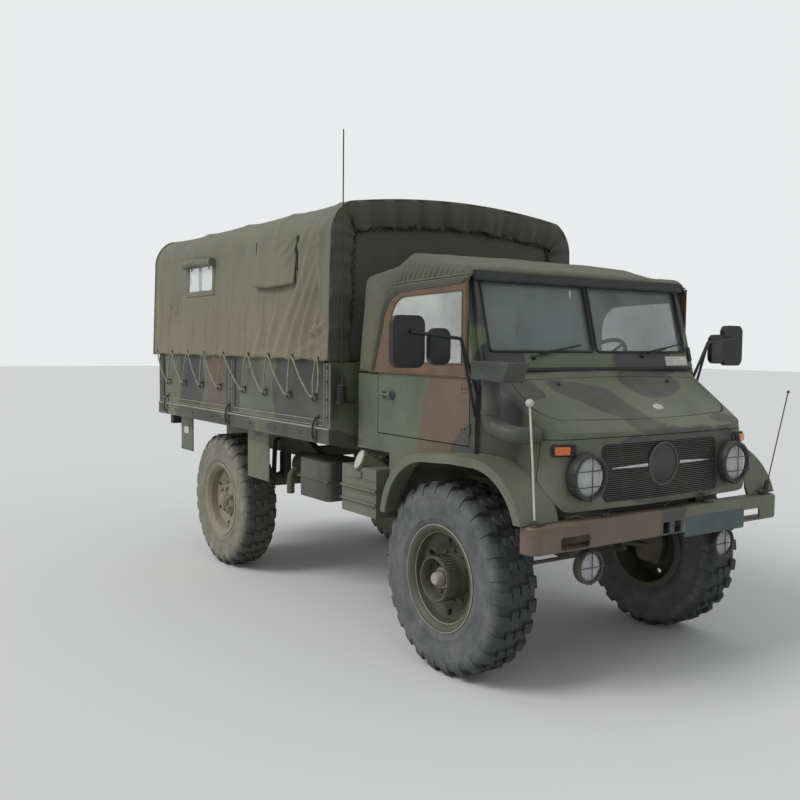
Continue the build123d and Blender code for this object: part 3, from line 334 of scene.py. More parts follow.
def clear_sheet(name, tint, alpha, rough, haze):
    """A see-through pane: its own tint and gloss, with dust haze in soft patches."""
    material, tree, shader, where = new_material(name)
    patches = speckle(tree, where, 0.12, 4.0)
    give(tree, shader, {
        "Base Color": mixed(tree, patches, tint, haze), "Roughness": rough, "Specular IOR Level": 0.8,
        "Alpha": ranged(tree, patches, 0.3, 0.7, alpha * 0.8, alpha * 1.3),
    })
    return material


def fluted_lens(name, tint, alpha):
    """Pressed lamp glass with upright flutes 9 mm apart."""
    material, tree, shader, where = new_material(name)
    flutes = ribbed(tree, where, 0.009)
    give(tree, shader, {"Base Color": mixed(tree, flutes, tint, "#E6EAEA"), "Alpha": alpha, "Roughness": 0.12})
    bump(tree, shader, flutes, 0.0015)
    return material


def tinted_lens(name, tint, ridge):
    """Moulded acrylic lens: clear colour, fine ribs inside, glossy outside."""
    material, tree, shader, where = new_material(name)
    ribs = ribbed(tree, where, 0.006)
    give(tree, shader, {"Base Color": mixed(tree, ribs, tint, ridge), "Roughness": 0.15, "Coat Weight": 0.6})
    bump(tree, shader, ribs, 0.0006)
    return material


enamel = camouflage_enamel("camouflage_enamel", BODY_BROWN, BODY_BLACK)
bumper_enamel = camouflage_enamel("camouflage_enamel_bumper", BUMPER_BROWN, BUMPER_BLACK)
fender_enamel = camouflage_enamel("camouflage_enamel_fenders", [], [])
rubber = rubber_tyre("carbon_black_rubber", "#6B6C6B", 0.35, 1.0)
dusty_rubber = rubber_tyre("carbon_black_rubber_dusty", "#8A8474", 0.55, 1.05)
# Each canvas gets a painted lit colour for its top, a painted shaded colour lower down, and a stain colour
canvas = cotton_canvas("cotton_duck_canvas", "#696B5A", "#7A735D", "#888068")
top_canvas = cotton_canvas("cotton_duck_canvas_cab", "#595B4D", "#5F5D4D", "#6C6957")
# A darker copy of the canvas: on the cover's front band and wall it is painted shade; the curtains' beads use it too
dark_canvas_and_painted_shade = cotton_canvas("cotton_duck_canvas_dark", "#4B4D45", "#45473F", "#5A5B50")
# Brush-painted matt black-green on chassis steel: dusty, with dried splashes
frame_paint = weathered("chassis_enamel", "#30322D", "#3E4037", 0.05, (0.55, 0.75), dust=0.55)
# Satin black enamel on small fittings: scuffed to grey
black_enamel = weathered("black_enamel", "#1E2021", "#2E3131", 0.03, (0.4, 0.6), dust=0.18)
# Matt dark grey-green enamel of tank, air intake and lamp shells
dark_enamel = weathered("dark_grey_enamel", "#383B39", "#464945", 0.06, (0.45, 0.62), dust=0.2)
# Olive rim enamel under a thick film of road dust
rim_enamel = weathered("rim_enamel", "#33362F", "#44473D", 0.03, (0.5, 0.7), dust=0.22)
# Olive rim enamel of the rear wheels, nearly hidden by pale dust
dusty_rim = weathered("dusty_rim_enamel", "#6A6756", "#7F7A68", 0.03, (0.6, 0.8), dust=0.8)
# Edges where paint has worn to bare steel and dust lies; on the bed's rail lip and board strips this pale colour is
# painted highlight
worn_edge_and_painted_highlight = weathered("worn_enamel_edge", "#8B8A7A", "#A09E8E", 0.02, (0.5, 0.7), dust=0.3)
# Sand-cast iron of axles and gear cases: grainy, oily and dusty
cast_iron = weathered("sand_cast_iron", "#34342F", "#47453C", 0.02, (0.5, 0.8), 0.0012, 0.3, 0.55)
# Moulded EPDM rubber of seals and bezels: deep matt black
seal_rubber = weathered("moulded_rubber", "#191A1A", "#262726", 0.02, (0.6, 0.8), dust=0.1)
# Moulded black ABS of mirror heads and the steering wheel: fine grain, dull gloss
black_abs = weathered("moulded_abs", "#101112", "#1A1C1D", 0.015, (0.35, 0.5), 0.0003, dust=0.06)
# Steel worn bright by use on latches and hooks
worn_steel = weathered("worn_steel", "#8A8C88", "#5D5F5A", 0.012, (0.3, 0.55), 0.0004, 0.85, 0.1)
# Polished stainless trim bars: bright with fine scratches
bright_steel = weathered("polished_steel", "#C5C8C8", "#A9ACAC", 0.01, (0.15, 0.3), 0.0001, 1.0, 0.02)
# Laid hemp rope, grey with age
hemp_rope = weathered("hemp_rope", "#A09C8A", "#7C786A", 0.006, (0.8, 0.95), 0.0015, dust=0.05)
# PVC-coated tan cloth of the door curtains
curtain_cloth = weathered("coated_curtain_cloth", "#5C4636", "#6F5743", 0.05, (0.5, 0.7), 0.0008, dust=0.12)
# Black leathercloth of the seats: fine grain, soft gloss
leathercloth = weathered("black_leathercloth", "#24262A", "#303236", 0.008, (0.42, 0.58), 0.0008, dust=0.05)
# Blank number plate: dark blue-green enamel on aluminium
plate_enamel = weathered("plate_enamel", "#2B4347", "#345054", 0.05, (0.3, 0.45), 0.0001, dust=0.1)
# Off-white paint on marker balls and caps
pale_paint = weathered("pale_enamel", "#C9CABF", "#AEB0A4", 0.02, (0.4, 0.6), dust=0.1)
vinyl_pane = clear_sheet("clear_vinyl", "#C9CCC8", 0.42, 0.14, "#E4E6E2")
safety_glass = clear_sheet("safety_glass", "#7B8483", 0.36, 0.03, "#9AA2A1")
lamp_glass = fluted_lens("pressed_lamp_glass", "#BFC6C8", 0.45)
amber_lens = tinted_lens("amber_acrylic", "#C24A12", "#E07A2C")
red_lens = tinted_lens("red_acrylic", "#7A0F0C", "#A82018")
clear_lens = tinted_lens("clear_acrylic", "#AEB4B4", "#D3D8D8")
silvered = weathered("silvered_reflector", "#D8DADB", "#C2C5C6", 0.02, (0.08, 0.15), 0.0, 1.0, 0.0)

# The slot that each finish fills where a piece names no other
USUAL_SLOT = {finish.name: slot for slot, finishes in {
    "camouflage_paint": [enamel], "tyre_rubber": [rubber, dusty_rubber],
    "rim_paint": [rim_enamel, dusty_rim, worn_edge_and_painted_highlight],
    "dark_paint": [black_enamel, dark_enamel, pale_paint, worn_steel, bright_steel, plate_enamel],
    "black_plastic": [seal_rubber, black_abs], "canvas": [canvas, top_canvas, hemp_rope],
    "side_curtain": [curtain_cloth], "seat_cover": [leathercloth], "clear_glass": [vinyl_pane],
    "lamp": [silvered, lamp_glass, amber_lens, clear_lens],
}.items() for finish in finishes}


# Making pieces

UP = (0, 0, 1)
AHEAD = (1, 0, 0)
BEHIND = (-1, 0, 0)
# Edges that turn more than this are softened, and faces that turn less than FLAT are one
SHARP_EDGE = math.radians(35)
FLAT = math.radians(0.6)
# Points nearer than this are one: in the CAD's meshes and in new forms, in metres
CAD_MERGE, MERGE = 0.00002, 0.00001


def put(name, mesh, material, body="root", slot=None, smooth=40):
    """Put a mesh in the scene as a finished piece that rides on a body."""
    mesh.materials.clear()
    mesh.materials.append(material)
    mesh.shade_smooth()
    mesh.set_sharp_from_angle(angle=math.radians(smooth))
    piece = bpy.data.objects.new(name, mesh)
    bpy.context.collection.objects.link(piece)
    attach(piece, body)
    slot or USUAL_SLOT[material.name]
    return piece


def modified(piece, kind, **settings):
    """Put one modifier on a piece and turn its result into plain mesh."""
    modifier = piece.modifiers.new("change", kind)
    for name, value in settings.items():
        setattr(modifier, name, value)
    settle(piece)


def settle(piece):
    """Turn a piece's modifiers into plain mesh."""
    graph = bpy.context.evaluated_depsgraph_get()
    mesh = bpy.data.meshes.new_from_object(piece.evaluated_get(graph), depsgraph=graph)
    piece.modifiers.clear()
    old = piece.data
    piece.data = mesh
    bpy.data.meshes.remove(old)


def dressed(node, material, soften):
    """A rigid CAD node's form with soft edges, standing in the node's place."""
    form = bmesh.new()
    form.from_mesh(frame["nodes"][node].data)
    bmesh.ops.remove_doubles(form, verts=form.verts, dist=CAD_MERGE)
    bmesh.ops.dissolve_limit(form, angle_limit=FLAT, verts=form.verts, edges=form.edges)
    mesh = bpy.data.meshes.new(f"{node}_form")
    form.to_mesh(mesh)
    form.free()
    piece = put(mesh.name, mesh, material, BODY_OF[node], SLOT_OF[node], 30)
    if soften:
        modified(
            piece, "BEVEL", width=soften, segments=2, limit_method="ANGLE", angle_limit=SHARP_EDGE,
            use_clamp_overlap=True, harden_normals=True,
        )
    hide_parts(node)


def piece_of(form, name, material, body="root", slot=None, soften=0.0, smooth=40):
    """Close a bmesh form into a piece, with its sharp edges softened."""
    bmesh.ops.remove_doubles(form, verts=form.verts, dist=MERGE)
    bmesh.ops.recalc_face_normals(form, faces=form.faces)
    if soften:
        sharp = [e for e in form.edges if e.is_manifold and e.calc_face_angle(0) > SHARP_EDGE]
        bmesh.ops.bevel(form, geom=sharp, offset=soften, segments=2, affect="EDGES", clamp_overlap=True)
    mesh = bpy.data.meshes.new(name)
    form.to_mesh(mesh)
    form.free()
    return put(name, mesh, material, body, slot, smooth)


def add_rings(form, rings, closed=False):
    """Skin a row of equal rings of points: closed joins the last ring to the first, else both ends are capped."""
    rows = [[form.verts.new(point) for point in ring] for ring in rings]
    for near, far in [*zip(rows, rows[1:]), *([(rows[-1], rows[0])] if closed else [])]:
        for place in range(len(near)):
            after = (place + 1) % len(near)
            form.faces.new((near[place], near[after], far[after], far[place]))
    if not closed:
        form.faces.new(rows[0])
        form.faces.new(rows[-1][::-1])


def add_block(form, corner, opposite):
    """A box between two opposite corners."""
    low, high = (Vector(map(pick, corner, opposite)) for pick in (min, max))
    place = Matrix.Translation((low + high) / 2) @ Matrix.Diagonal((*(high - low), 1))
    bmesh.ops.create_cube(form, size=1, matrix=place)


def round_turns(count):
    """Equal turns round a circle."""
    return [2 * math.pi * step / count for step in range(count)]


def add_tube(form, path, radius, sides, closed=False):
    """A round bar along a path of points; radius may be one value or one for each point."""
    path = [Vector(point) for point in path]
    radii = radius if hasattr(radius, "__len__") else [radius] * len(path)
    count = len(path)
    rings = []
    across = None
    for index, point in enumerate(path):
        before = path[index - 1] if index or closed else point
        after = path[(index + 1) % count] if index < count - 1 or closed else point
        ahead = (after - before).normalized()
        if across is None:
            across = ahead.orthogonal().normalized()
        across = (across - ahead * across.dot(ahead)).normalized()
        beside = ahead.cross(across)
        rings.append([
            point + (across * math.cos(turn) + beside * math.sin(turn)) * radii[index]
            for turn in round_turns(sides)
        ])
    add_rings(form, rings, closed)


def add_turned(form, profile, centre, axis=(0, 1, 0), segments=64):
    """Revolve a closed profile of (radius, height) pairs about an axis through the centre."""
    place = Vector(axis).to_track_quat("Z", "Y").to_matrix().to_4x4()
    place.translation = Vector(centre)
    add_rings(form, [[
        place @ Vector((radius * math.cos(turn), radius * math.sin(turn), height)) for radius, height in profile
    ] for turn in round_turns(segments)], closed=True)


def turned_piece(name, profile, centre, axis, segments, material, body="root", slot=None, smooth=40):
    """A piece made by revolving one profile."""
    form = bmesh.new()
    add_turned(form, profile, centre, axis, segments)
    return piece_of(form, name, material, body, slot, smooth=smooth)


def block_piece(name, blocks, material, slot=None, soften=0.0):
    """A piece made of boxes, each given by two opposite corners."""
    form = bmesh.new()
    for corner, opposite in blocks:
        add_block(form, corner, opposite)
    return piece_of(form, name, material, slot=slot, soften=soften)


def tube_piece(name, path, radius, sides, material):
    """A piece made of one round bar."""
    form = bmesh.new()
    add_tube(form, path, radius, sides)
    return piece_of(form, name, material)


def wire_profile(radius, offset, thick, sides):
    """The profile of a round wire bent to a ring."""
    return [(radius + thick * math.cos(turn), offset + thick * math.sin(turn)) for turn in round_turns(sides)]


def arc(start, middle, end, steps):
    """Points on the circle from start through middle to end, in a plane, both ends with them."""
    (ax, ay), (bx, by), (cx, cy) = start, middle, end
    double = 2 * (ax * (by - cy) + bx * (cy - ay) + cx * (ay - by))
    squares = [x * x + y * y for x, y in (start, middle, end)]
    ux = (squares[0] * (by - cy) + squares[1] * (cy - ay) + squares[2] * (ay - by)) / double
    uy = (squares[0] * (cx - bx) + squares[1] * (ax - cx) + squares[2] * (bx - ax)) / double
    radius = math.hypot(ax - ux, ay - uy)
    first, mid, last = (math.atan2(y - uy, x - ux) for x, y in (start, middle, end))
    sweep = (last - first) % (2 * math.pi)
    if (mid - first) % (2 * math.pi) > sweep:
        sweep -= 2 * math.pi
    return [
        (ux + radius * math.cos(first + sweep * step / steps), uy + radius * math.sin(first + sweep * step / steps))
        for step in range(steps + 1)
    ]


def eased(value, low, high):
    """0 below low, 1 above high, and a smooth rise between."""
    share = min(1.0, max(0.0, (value - low) / (high - low)))
    return share * share * (3 - 2 * share)


def smooth_path(points, steps=6):
    """A soft curve through a short list of points."""
    points = [Vector(point) for point in points]
    padded = [points[0] * 2 - points[1], *points, points[-1] * 2 - points[-2]]
    path = []
    for before, start, end, after in zip(padded, padded[1:], padded[2:], padded[3:]):
        for step in range(steps):
            share = step / steps
            path.append(0.5 * (
                2 * start + (end - before) * share
                + (2 * before - 5 * start + 4 * end - after) * share ** 2
                + (3 * start - before - 3 * end + after) * share ** 3
            ))
    return [*path, points[-1]]


def scatter_tree():
    """Geometry nodes: one shape at every point, turned by the point's own turn and sized alike."""
    tree = bpy.data.node_groups.new("scatter", "GeometryNodeTree")
    for name, kind in (("Geometry", "Geometry"), ("Shape", "Object"), ("Size", "Float"), ("Finish", "Material")):
        tree.interface.new_socket(name, in_out="INPUT", socket_type=f"NodeSocket{kind}")
    tree.interface.new_socket("Geometry", in_out="OUTPUT", socket_type="NodeSocketGeometry")
    given = add_node(tree, "NodeGroupInput")
    shape = add_node(tree, "GeometryNodeObjectInfo", {"Object": given.outputs["Shape"]})
    turn = add_node(tree, "GeometryNodeInputNamedAttribute", {"Name": "turn"}, data_type="FLOAT_VECTOR")
    spin = add_node(tree, "FunctionNodeEulerToRotation", {"Euler": turn.outputs["Attribute"]})
    copies = add_node(tree, "GeometryNodeInstanceOnPoints", {
        "Points": given.outputs["Geometry"], "Instance": shape.outputs["Geometry"],
        "Rotation": spin.outputs[0], "Scale": given.outputs["Size"],
    })
    solid = add_node(tree, "GeometryNodeRealizeInstances", {"Geometry": copies.outputs[0]})
    coloured = add_node(tree, "GeometryNodeSetMaterial", {
        "Geometry": solid.outputs[0], "Material": given.outputs["Finish"],
    })
    add_node(tree, "NodeGroupOutput", {"Geometry": coloured.outputs[0]})
    return tree


SCATTER = scatter_tree()


def loose_object(name, mesh):
    """A helper object in the scene."""
    item = bpy.data.objects.new(name, mesh)
    bpy.context.collection.objects.link(item)
    return item


def loose_form(form, name):
    """A helper object made of a bmesh form, with its faces turned outward."""
    bmesh.ops.remove_doubles(form, verts=form.verts, dist=MERGE)
    bmesh.ops.recalc_face_normals(form, faces=form.faces)
    mesh = bpy.data.meshes.new(name)
    form.to_mesh(mesh)
    form.free()
    return loose_object(name, mesh)


def scattered(form, name, places, material, body="root", size=1.0, smooth=40):
    """Copies of a small form at (point, turn) places, as one piece; the form's own Z follows the turn."""
    shape = loose_form(form, "shape")
    points = bpy.data.meshes.new(name)
    points.from_pydata([tuple(point) for point, _ in places], [], [])
    turns = points.attributes.new("turn", "FLOAT_VECTOR", "POINT")
    for row, (_, turn) in zip(turns.data, places):
        row.vector = turn
    carrier = loose_object("carrier", points)
    modifier = carrier.modifiers.new("nodes", "NODES")
    modifier.node_group = SCATTER
    values = {"Shape": shape, "Size": size, "Finish": material}
    for item in SCATTER.interface.items_tree:
        if item.in_out == "INPUT" and item.name in values:
            modifier[item.identifier] = values[item.name]
    settle(carrier)
    mesh = carrier.data
    mesh.name = name
    bpy.data.objects.remove(carrier)
    bpy.data.objects.remove(shape)
    return put(name, mesh, material, body, smooth=smooth)


def facing(direction, roll=0.0):
    """The turn that points a form's Z along a direction, then rolls it about that direction."""
    turn = Vector(direction).to_track_quat("Z", "Y").to_matrix() @ Matrix.Rotation(roll, 3, "Z")
    return tuple(turn.to_euler())


def bolt_form(across, height):
    """A hexagon bolt head on a washer, standing on its base along Z."""
    form = bmesh.new()
    washer = [(0.0, 0.0), (across * 0.68, 0.0), (across * 0.68, height * 0.2), (0.0, height * 0.2)]
    add_turned(form, washer, (0, 0, 0), UP, 16)
    head = [(0.0, 0.0), (across * 0.56, 0.0), (across * 0.56, height * 0.85), (across * 0.46, height), (0.0, height)]
    add_turned(form, head, (0, 0, 0), UP, 6)
    return form


set_camera()
set_light()

# The bed's canvas cover: one sheet over the hoops, drawn down over the boards

cover_low, cover_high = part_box("canvas_cover")
HOOPS = (-2.28, -1.56, -0.82, -0.08, 0.56)
COVER_FOOT = (-1.036, cover_low.z)
COVER_SIDE_TOP = (-1.012, 2.42)
COVER_SHOULDER = (-0.88, 2.65)


def half_section():
    """The cover's outline from its right foot to the crown, as (y, z) points."""
    side = [[foot + (top - foot) * step / 20 for foot, top in zip(COVER_FOOT, COVER_SIDE_TOP)] for step in range(20)]
    shoulder = arc(COVER_SIDE_TOP, (-0.972, 2.568), COVER_SHOULDER, 16)
    crown = arc(COVER_SHOULDER, (0.0, cover_high.z), (0.88, 2.65), 48)[1:25]
    return [*side, *shoulder, *crown]


half_outline = half_section()
OUTLINE = [*half_outline, *((-y, z) for y, z in half_outline[-2::-1])]
OUTLINE_LENGTHS = [0.0]
for near_point, far_point in zip(OUTLINE, OUTLINE[1:]):
    OUTLINE_LENGTHS.append(OUTLINE_LENGTHS[-1] + math.dist(near_point, far_point))
GIRTH = OUTLINE_LENGTHS[-1]
COVER_LENGTH = cover_high.x - cover_low.x


def outline_spot(along):
    """The (y, z) point of the cover's outline at a length from its right foot."""
    place = min(max(bisect_right(OUTLINE_LENGTHS, along) - 1, 0), len(OUTLINE) - 2)
    share = (along - OUTLINE_LENGTHS[place]) / (OUTLINE_LENGTHS[place + 1] - OUTLINE_LENGTHS[place])
    return Vector(OUTLINE[place]).lerp(Vector(OUTLINE[place + 1]), share)


def outline_at(along):
    """The point of the cover's outline at a length, and its outward direction over 30 mm to either side."""
    behind, here, ahead = (outline_spot(min(max(along + step, 0.0), GIRTH)) for step in (-0.03, 0.0, 0.03))
    run = (ahead - behind).normalized()
    return here, Vector((-run.y, run.x))


def height_to_length(z, side):
    """How far along the outline a height on one upright side is."""
    share = (z - COVER_FOOT[1]) / (COVER_SIDE_TOP[1] - COVER_FOOT[1])
    along = share * math.dist(COVER_FOOT, COVER_SIDE_TOP)
    return along if side == RIGHT else GIRTH - along


# Folds of the cover's sides: from (x, z) to (x, z), half width and rise, in metres
FOLDS = [
    (0.62, 2.56, 0.16, 1.70, 0.030, 0.022),
    (0.60, 2.50, 0.33, 1.70, 0.026, 0.024),
    (0.52, 2.60, -0.02, 1.68, 0.034, 0.014),
    (0.45, 2.62, 0.12, 2.30, 0.022, 0.012),
    (0.33, 2.60, 0.02, 2.36, 0.020, 0.010),
    (0.57, 2.20, 0.46, 1.66, 0.022, 0.020),
    (-0.02, 2.10, -0.16, 1.66, 0.030, 0.013),
    (-0.22, 2.12, -0.34, 1.66, 0.034, 0.012),
    (-0.52, 2.10, -0.58, 1.66, 0.030, 0.013),
    (-0.80, 2.40, -0.84, 1.66, 0.026, 0.010),
    (-1.05, 2.08, -1.08, 1.66, 0.030, 0.013),
    (-1.30, 2.05, -1.28, 1.66, 0.024, 0.009),
    (-1.58, 2.14, -1.56, 1.66, 0.022, 0.014),
    (-1.84, 2.10, -1.86, 1.66, 0.022, 0.012),
    (-2.05, 2.20, -2.12, 1.66, 0.026, 0.015),
    (-2.30, 2.42, -2.28, 1.66, 0.030, 0.012),
    (-1.78, 2.22, -2.00, 2.00, 0.020, 0.014),
    (-1.20, 2.16, -1.02, 1.96, 0.022, 0.010),
    (0.60, 1.90, 0.42, 1.80, 0.016, 0.018), (0.62, 1.83, 0.45, 1.72, 0.014, 0.016),
    (0.54, 1.94, 0.50, 1.70, 0.014, 0.012), (0.64, 1.98, 0.55, 1.78, 0.014, 0.014),
    (0.48, 1.88, 0.38, 1.70, 0.015, 0.014), (0.60, 1.75, 0.52, 1.66, 0.012, 0.012),
]
SEAM_HEIGHT = 2.10


def ridge(x, z, fold):
    """The rise of one fold at a place on a side: round across, fading to both ends."""
    x0, z0, x1, z1, half_width, rise = fold
    run_x, run_z = x1 - x0, z1 - z0
    length = math.hypot(run_x, run_z)
    along = ((x - x0) * run_x + (z - z0) * run_z) / length ** 2
    if not -0.15 < along < 1.15:
        return 0.0
    wander = 0.02 * math.sin(7 * along + 9 * x0)
    off = ((x - x0) * run_z - (z - z0) * run_x) / length + wander
    width = half_width * (0.75 + 0.5 * along)
    fade = eased(along, -0.15, 0.18) * (1 - eased(along, 0.92, 1.15))
    return rise * fade * (math.exp(-(off / width) ** 2) - 0.45 * math.exp(-((off - 1.7 * width) / width) ** 2))


def cover_relief(x, z, side):
    """How far the cloth stands off the hoops' outline at a place."""
    roof = eased(z, 2.36, 2.64)
    place = bisect_right(HOOPS, x)
    sag = 0.0
    if 0 < place < len(HOOPS):
        share = (x - HOOPS[place - 1]) / (HOOPS[place] - HOOPS[place - 1])
        sag = 4 * share * (1 - share)
    rise = -sag * (0.003 + 0.005 * roof)
    nearest = min(abs(hoop - x) for hoop in HOOPS)
    rise += 0.004 * math.exp(-(nearest / 0.025) ** 2) * eased(z, 2.2, 2.5)
    shifted = x if side == RIGHT else x + 0.04
    rise += sum(ridge(shifted, z, fold) for fold in FOLDS) * (1 - roof)
    rise += 0.0025 * math.exp(-((z - SEAM_HEIGHT) / 0.014) ** 2)
    low = 1 - eased(z, 1.8, 2.15)
    rise += 0.007 * noise.noise((x * 2.1, z * 1.2, side * 3)) * (1 - 0.4 * roof)
    rise += low * 0.006 * noise.noise((x * 7.5, z * 1.4, side * 5))
    rise += 0.0025 * noise.noise((x * 11, z * 9, side * 7))
    return rise


def cover_point(x, along, lift=0.0):
    """A point on the cover's cloth, standing off by lift."""
    (y, z), out = outline_at(along)
    side = RIGHT if along < GIRTH / 2 else LEFT
    push = cover_relief(x, z, side) + lift
    return Vector((x, y + out.x * push, z + out.y * push))


def grid_of(spot, rows, columns):
    """Rows of points: spot gives the point at its shares along the rows and across them."""
    return [[spot(row / rows, column / columns) for column in range(columns + 1)] for row in range(rows + 1)]


def sheet_piece(name, rows, material, thickness=0.004, skip=None, spacing=None):
    """A cloth piece from a grid of points, with its own map in metres and a real thickness."""
    count = len(rows[0])
    points = [point for row in rows for point in row]
    faces = []
    for row in range(len(rows) - 1):
        for column in range(count - 1):
            if skip and skip(row, column):
                continue
            corner = row * count + column
            faces.append((corner, corner + 1, corner + count + 1, corner + count))
    mesh = bpy.data.meshes.new(name)
    mesh.from_pydata([tuple(point) for point in points], [], faces)
    along, across = spacing or ((rows[1][0] - rows[0][0]).length, (rows[0][1] - rows[0][0]).length)
    chart = mesh.uv_layers.new(name="sheet")
    for loop in mesh.loops:
        row, column = divmod(loop.vertex_index, count)
        chart.data[loop.index].uv = (row * along, column * across)
    piece = put(name, mesh, material, slot="canvas", smooth=60)
    modified(piece, "SOLIDIFY", thickness=thickness, offset=0)
    return piece


WINDOW_BAND = 0.035
# Windows in the cover's sides: rear edge, front edge, bottom and top, and whether the flap is rolled up
COVER_WINDOWS = [(-1.66, -1.16, 2.17, 2.37, True), (-0.33, 0.19, 2.19, 2.42, False)]


def in_window(x, z):
    """Whether a place on the side is inside a window whose flap is rolled up."""
    return any(x0 < x < x1 and z0 < z < z1 for x0, x1, z0, z1, rolled in COVER_WINDOWS if rolled)


EYELETS = (-2.35, -2.0, -1.64, -1.28, -0.92, -0.47, -0.13, 0.21, 0.55)
HOOKS = (-2.10, -1.74, -1.37, -1.01, -0.57, -0.22, 0.14, 0.49)
EYELET_Z = 1.682
HOOK_Z = 1.43
HEM_TOP = 1.76


def hem_rise(x):
    """The hem hangs in shallow scallops between its eyelets."""
    return 0.012 * eased(min(abs(x - spot) for spot in EYELETS), 0.0, 0.16)


COVER_STEPS = (170, 190)


def cover_spot(share_along, share_round):
    """A point of the big sheet, with its scalloped hem."""
    x = cover_low.x + COVER_LENGTH * share_along
    point = cover_point(x, GIRTH * share_round)
    if point.z < HEM_TOP:
        point.z += hem_rise(x) * (1 - (point.z - cover_low.z) / (HEM_TOP - cover_low.z))
    return point


def in_cover_hole(row, column):
    """Whether a step of the big sheet's grid is inside an open window."""
    x = cover_low.x + COVER_LENGTH * (row + 0.5) / COVER_STEPS[0]
    return in_window(x, outline_at(GIRTH * (column + 0.5) / COVER_STEPS[1])[0].y)


def make_cover():
    """The big sheet, with its hem, seam and window holes."""
    spacing = (COVER_LENGTH / COVER_STEPS[0], GIRTH / COVER_STEPS[1])
    rows = grid_of(cover_spot, *COVER_STEPS)
    cloth = sheet_piece("cover_cloth", rows, canvas, skip=in_cover_hole, spacing=spacing)
    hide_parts("canvas_cover")
    return cloth


def cover_patch(name, x0, x1, z0, z1, side, lift, material, steps=(24, 10), thickness=0.003, curl=None):
    """A patch of cloth lying on the cover's side; curl moves each point by its shares along and up."""
    def spot(along, up):
        point = cover_point(x0 + (x1 - x0) * along, height_to_length(z0 + (z1 - z0) * up, side), lift)
        return point + curl(along, up, side) if curl else point

    rows = grid_of(spot, *steps)
    if side == LEFT:
        rows.reverse()
    return sheet_piece(name, rows, material, thickness=thickness)


def loose_flap(along, up, side):
    """A closed flap hangs free from its top: it bellies, lifts at the foot and kinks at its corners."""
    hang = 1 - up
    belly = 0.020 * hang ** 1.5 + 0.010 * math.sin(3.3 * along + 2.2 * up) * hang
    belly += 0.014 * math.exp(-((along - 0.55 - 0.3 * up) / 0.12) ** 2) * hang * (0.3 + up)
    droop = -0.016 * math.sin(math.pi * along) * hang ** 2
    return Vector((0, side * belly, droop))


def rippled_pane(along, up, side):
    """The clear pane is not quite flat."""
    return Vector((0, side * 0.004 * math.sin(19 * along + 7 * up), 0))


def make_cover_windows(cover_parts):
    """Clear panes, stitched bands, one rolled and one hanging flap, with black straps; those beside the hanging flap
    also paint the shade of the gaps at its sides.
    """
    for side, side_name in SIDES:
        for number, (x0, x1, z0, z1, rolled) in enumerate(COVER_WINDOWS):
            tag = f"{side_name}_{number}"
            if rolled:
                edges = (x0 - 0.02, x1 + 0.02, z0 - 0.02, z1 + 0.02)
                pane = cover_patch(
                    f"cover_pane_{tag}", *edges, side, -0.004, vinyl_pane, thickness=0.0015, curl=rippled_pane,
                )
                cover_parts.append(pane)
                rear, front, low, high = x0 - WINDOW_BAND, x1 + WINDOW_BAND, z0 - WINDOW_BAND, z1 + WINDOW_BAND
                for part, (edges, steps) in enumerate((
                    ((rear, front, low, z0 + 0.006), (22, 4)), ((rear, front, z1 - 0.006, high), (22, 4)),
                    ((rear, x0 + 0.006, z0, z1), (4, 10)), ((x1 - 0.006, front, z0, z1), (4, 10)),
                )):
                    name = f"cover_band_{tag}_{part}"
                    cover_parts.append(cover_patch(name, *edges, side, 0.004, canvas, steps))
                path, radii = [], []
                for step in range(25):
                    x = x0 - 0.05 + (x1 - x0 + 0.1) * step / 24
                    spot = cover_point(x, height_to_length(z1 + 0.035, side), 0.030)
                    path.append(spot + Vector((0, 0, 0.008 * math.sin(5 * step / 24) - 0.01)))
                    radii.append(0.030 + 0.004 * math.sin(1.9 * step))
                cover_parts.append(tube_piece(f"cover_roll_{tag}", path, radii, 14, canvas))
                strap_and_gap_x = (x0 + 0.07, x1 - 0.07)
            else:
                edges = (x0 - 0.03, x1 + 0.03, z0 - 0.03, z1 + 0.05)
                flap = cover_patch(f"cover_flap_{tag}", *edges, side, 0.006, canvas, (30, 18), 0.004, loose_flap)
                cover_parts.append(flap)
                strap_and_gap_x = (x0 - 0.045, x1 + 0.045)
            # Black straps: at a rolled window they hold the roll; beside a hanging flap they also paint the shade of
            # the gaps at its sides
            form = bmesh.new()
            for x in strap_and_gap_x:
                strap = [cover_point(x, height_to_length(z, side), 0.036 if rolled and z > z1 else 0.006)
                         for z in (z1 + 0.05, z1 + 0.03, z1, z1 - 0.03, z1 - 0.08, z0 + 0.05)]
                add_tube(form, smooth_path(strap[:4] if rolled else strap, 3), 0.0045, 6)
            cover_parts.append(piece_of(form, f"cover_straps_{tag}", seal_rubber))


WALL_HALF = 0.93


def front_wall_spot(across, up):
    """A point of the cover's flat front wall."""
    y = WALL_HALF * (2 * across - 1)
    top = 2.62 - 0.05 * (y / 0.86) ** 2 - 4.0 * max(0.0, abs(y) - 0.80) ** 2
    z = cover_low.z + (top - cover_low.z) * up
    ripple = 0.005 * noise.noise((y * 3, z * 2.4, 4)) + 0.002 * noise.noise((y * 12, z * 7, 4))
    return Vector((cover_high.x - 0.050 + ripple, y, z))


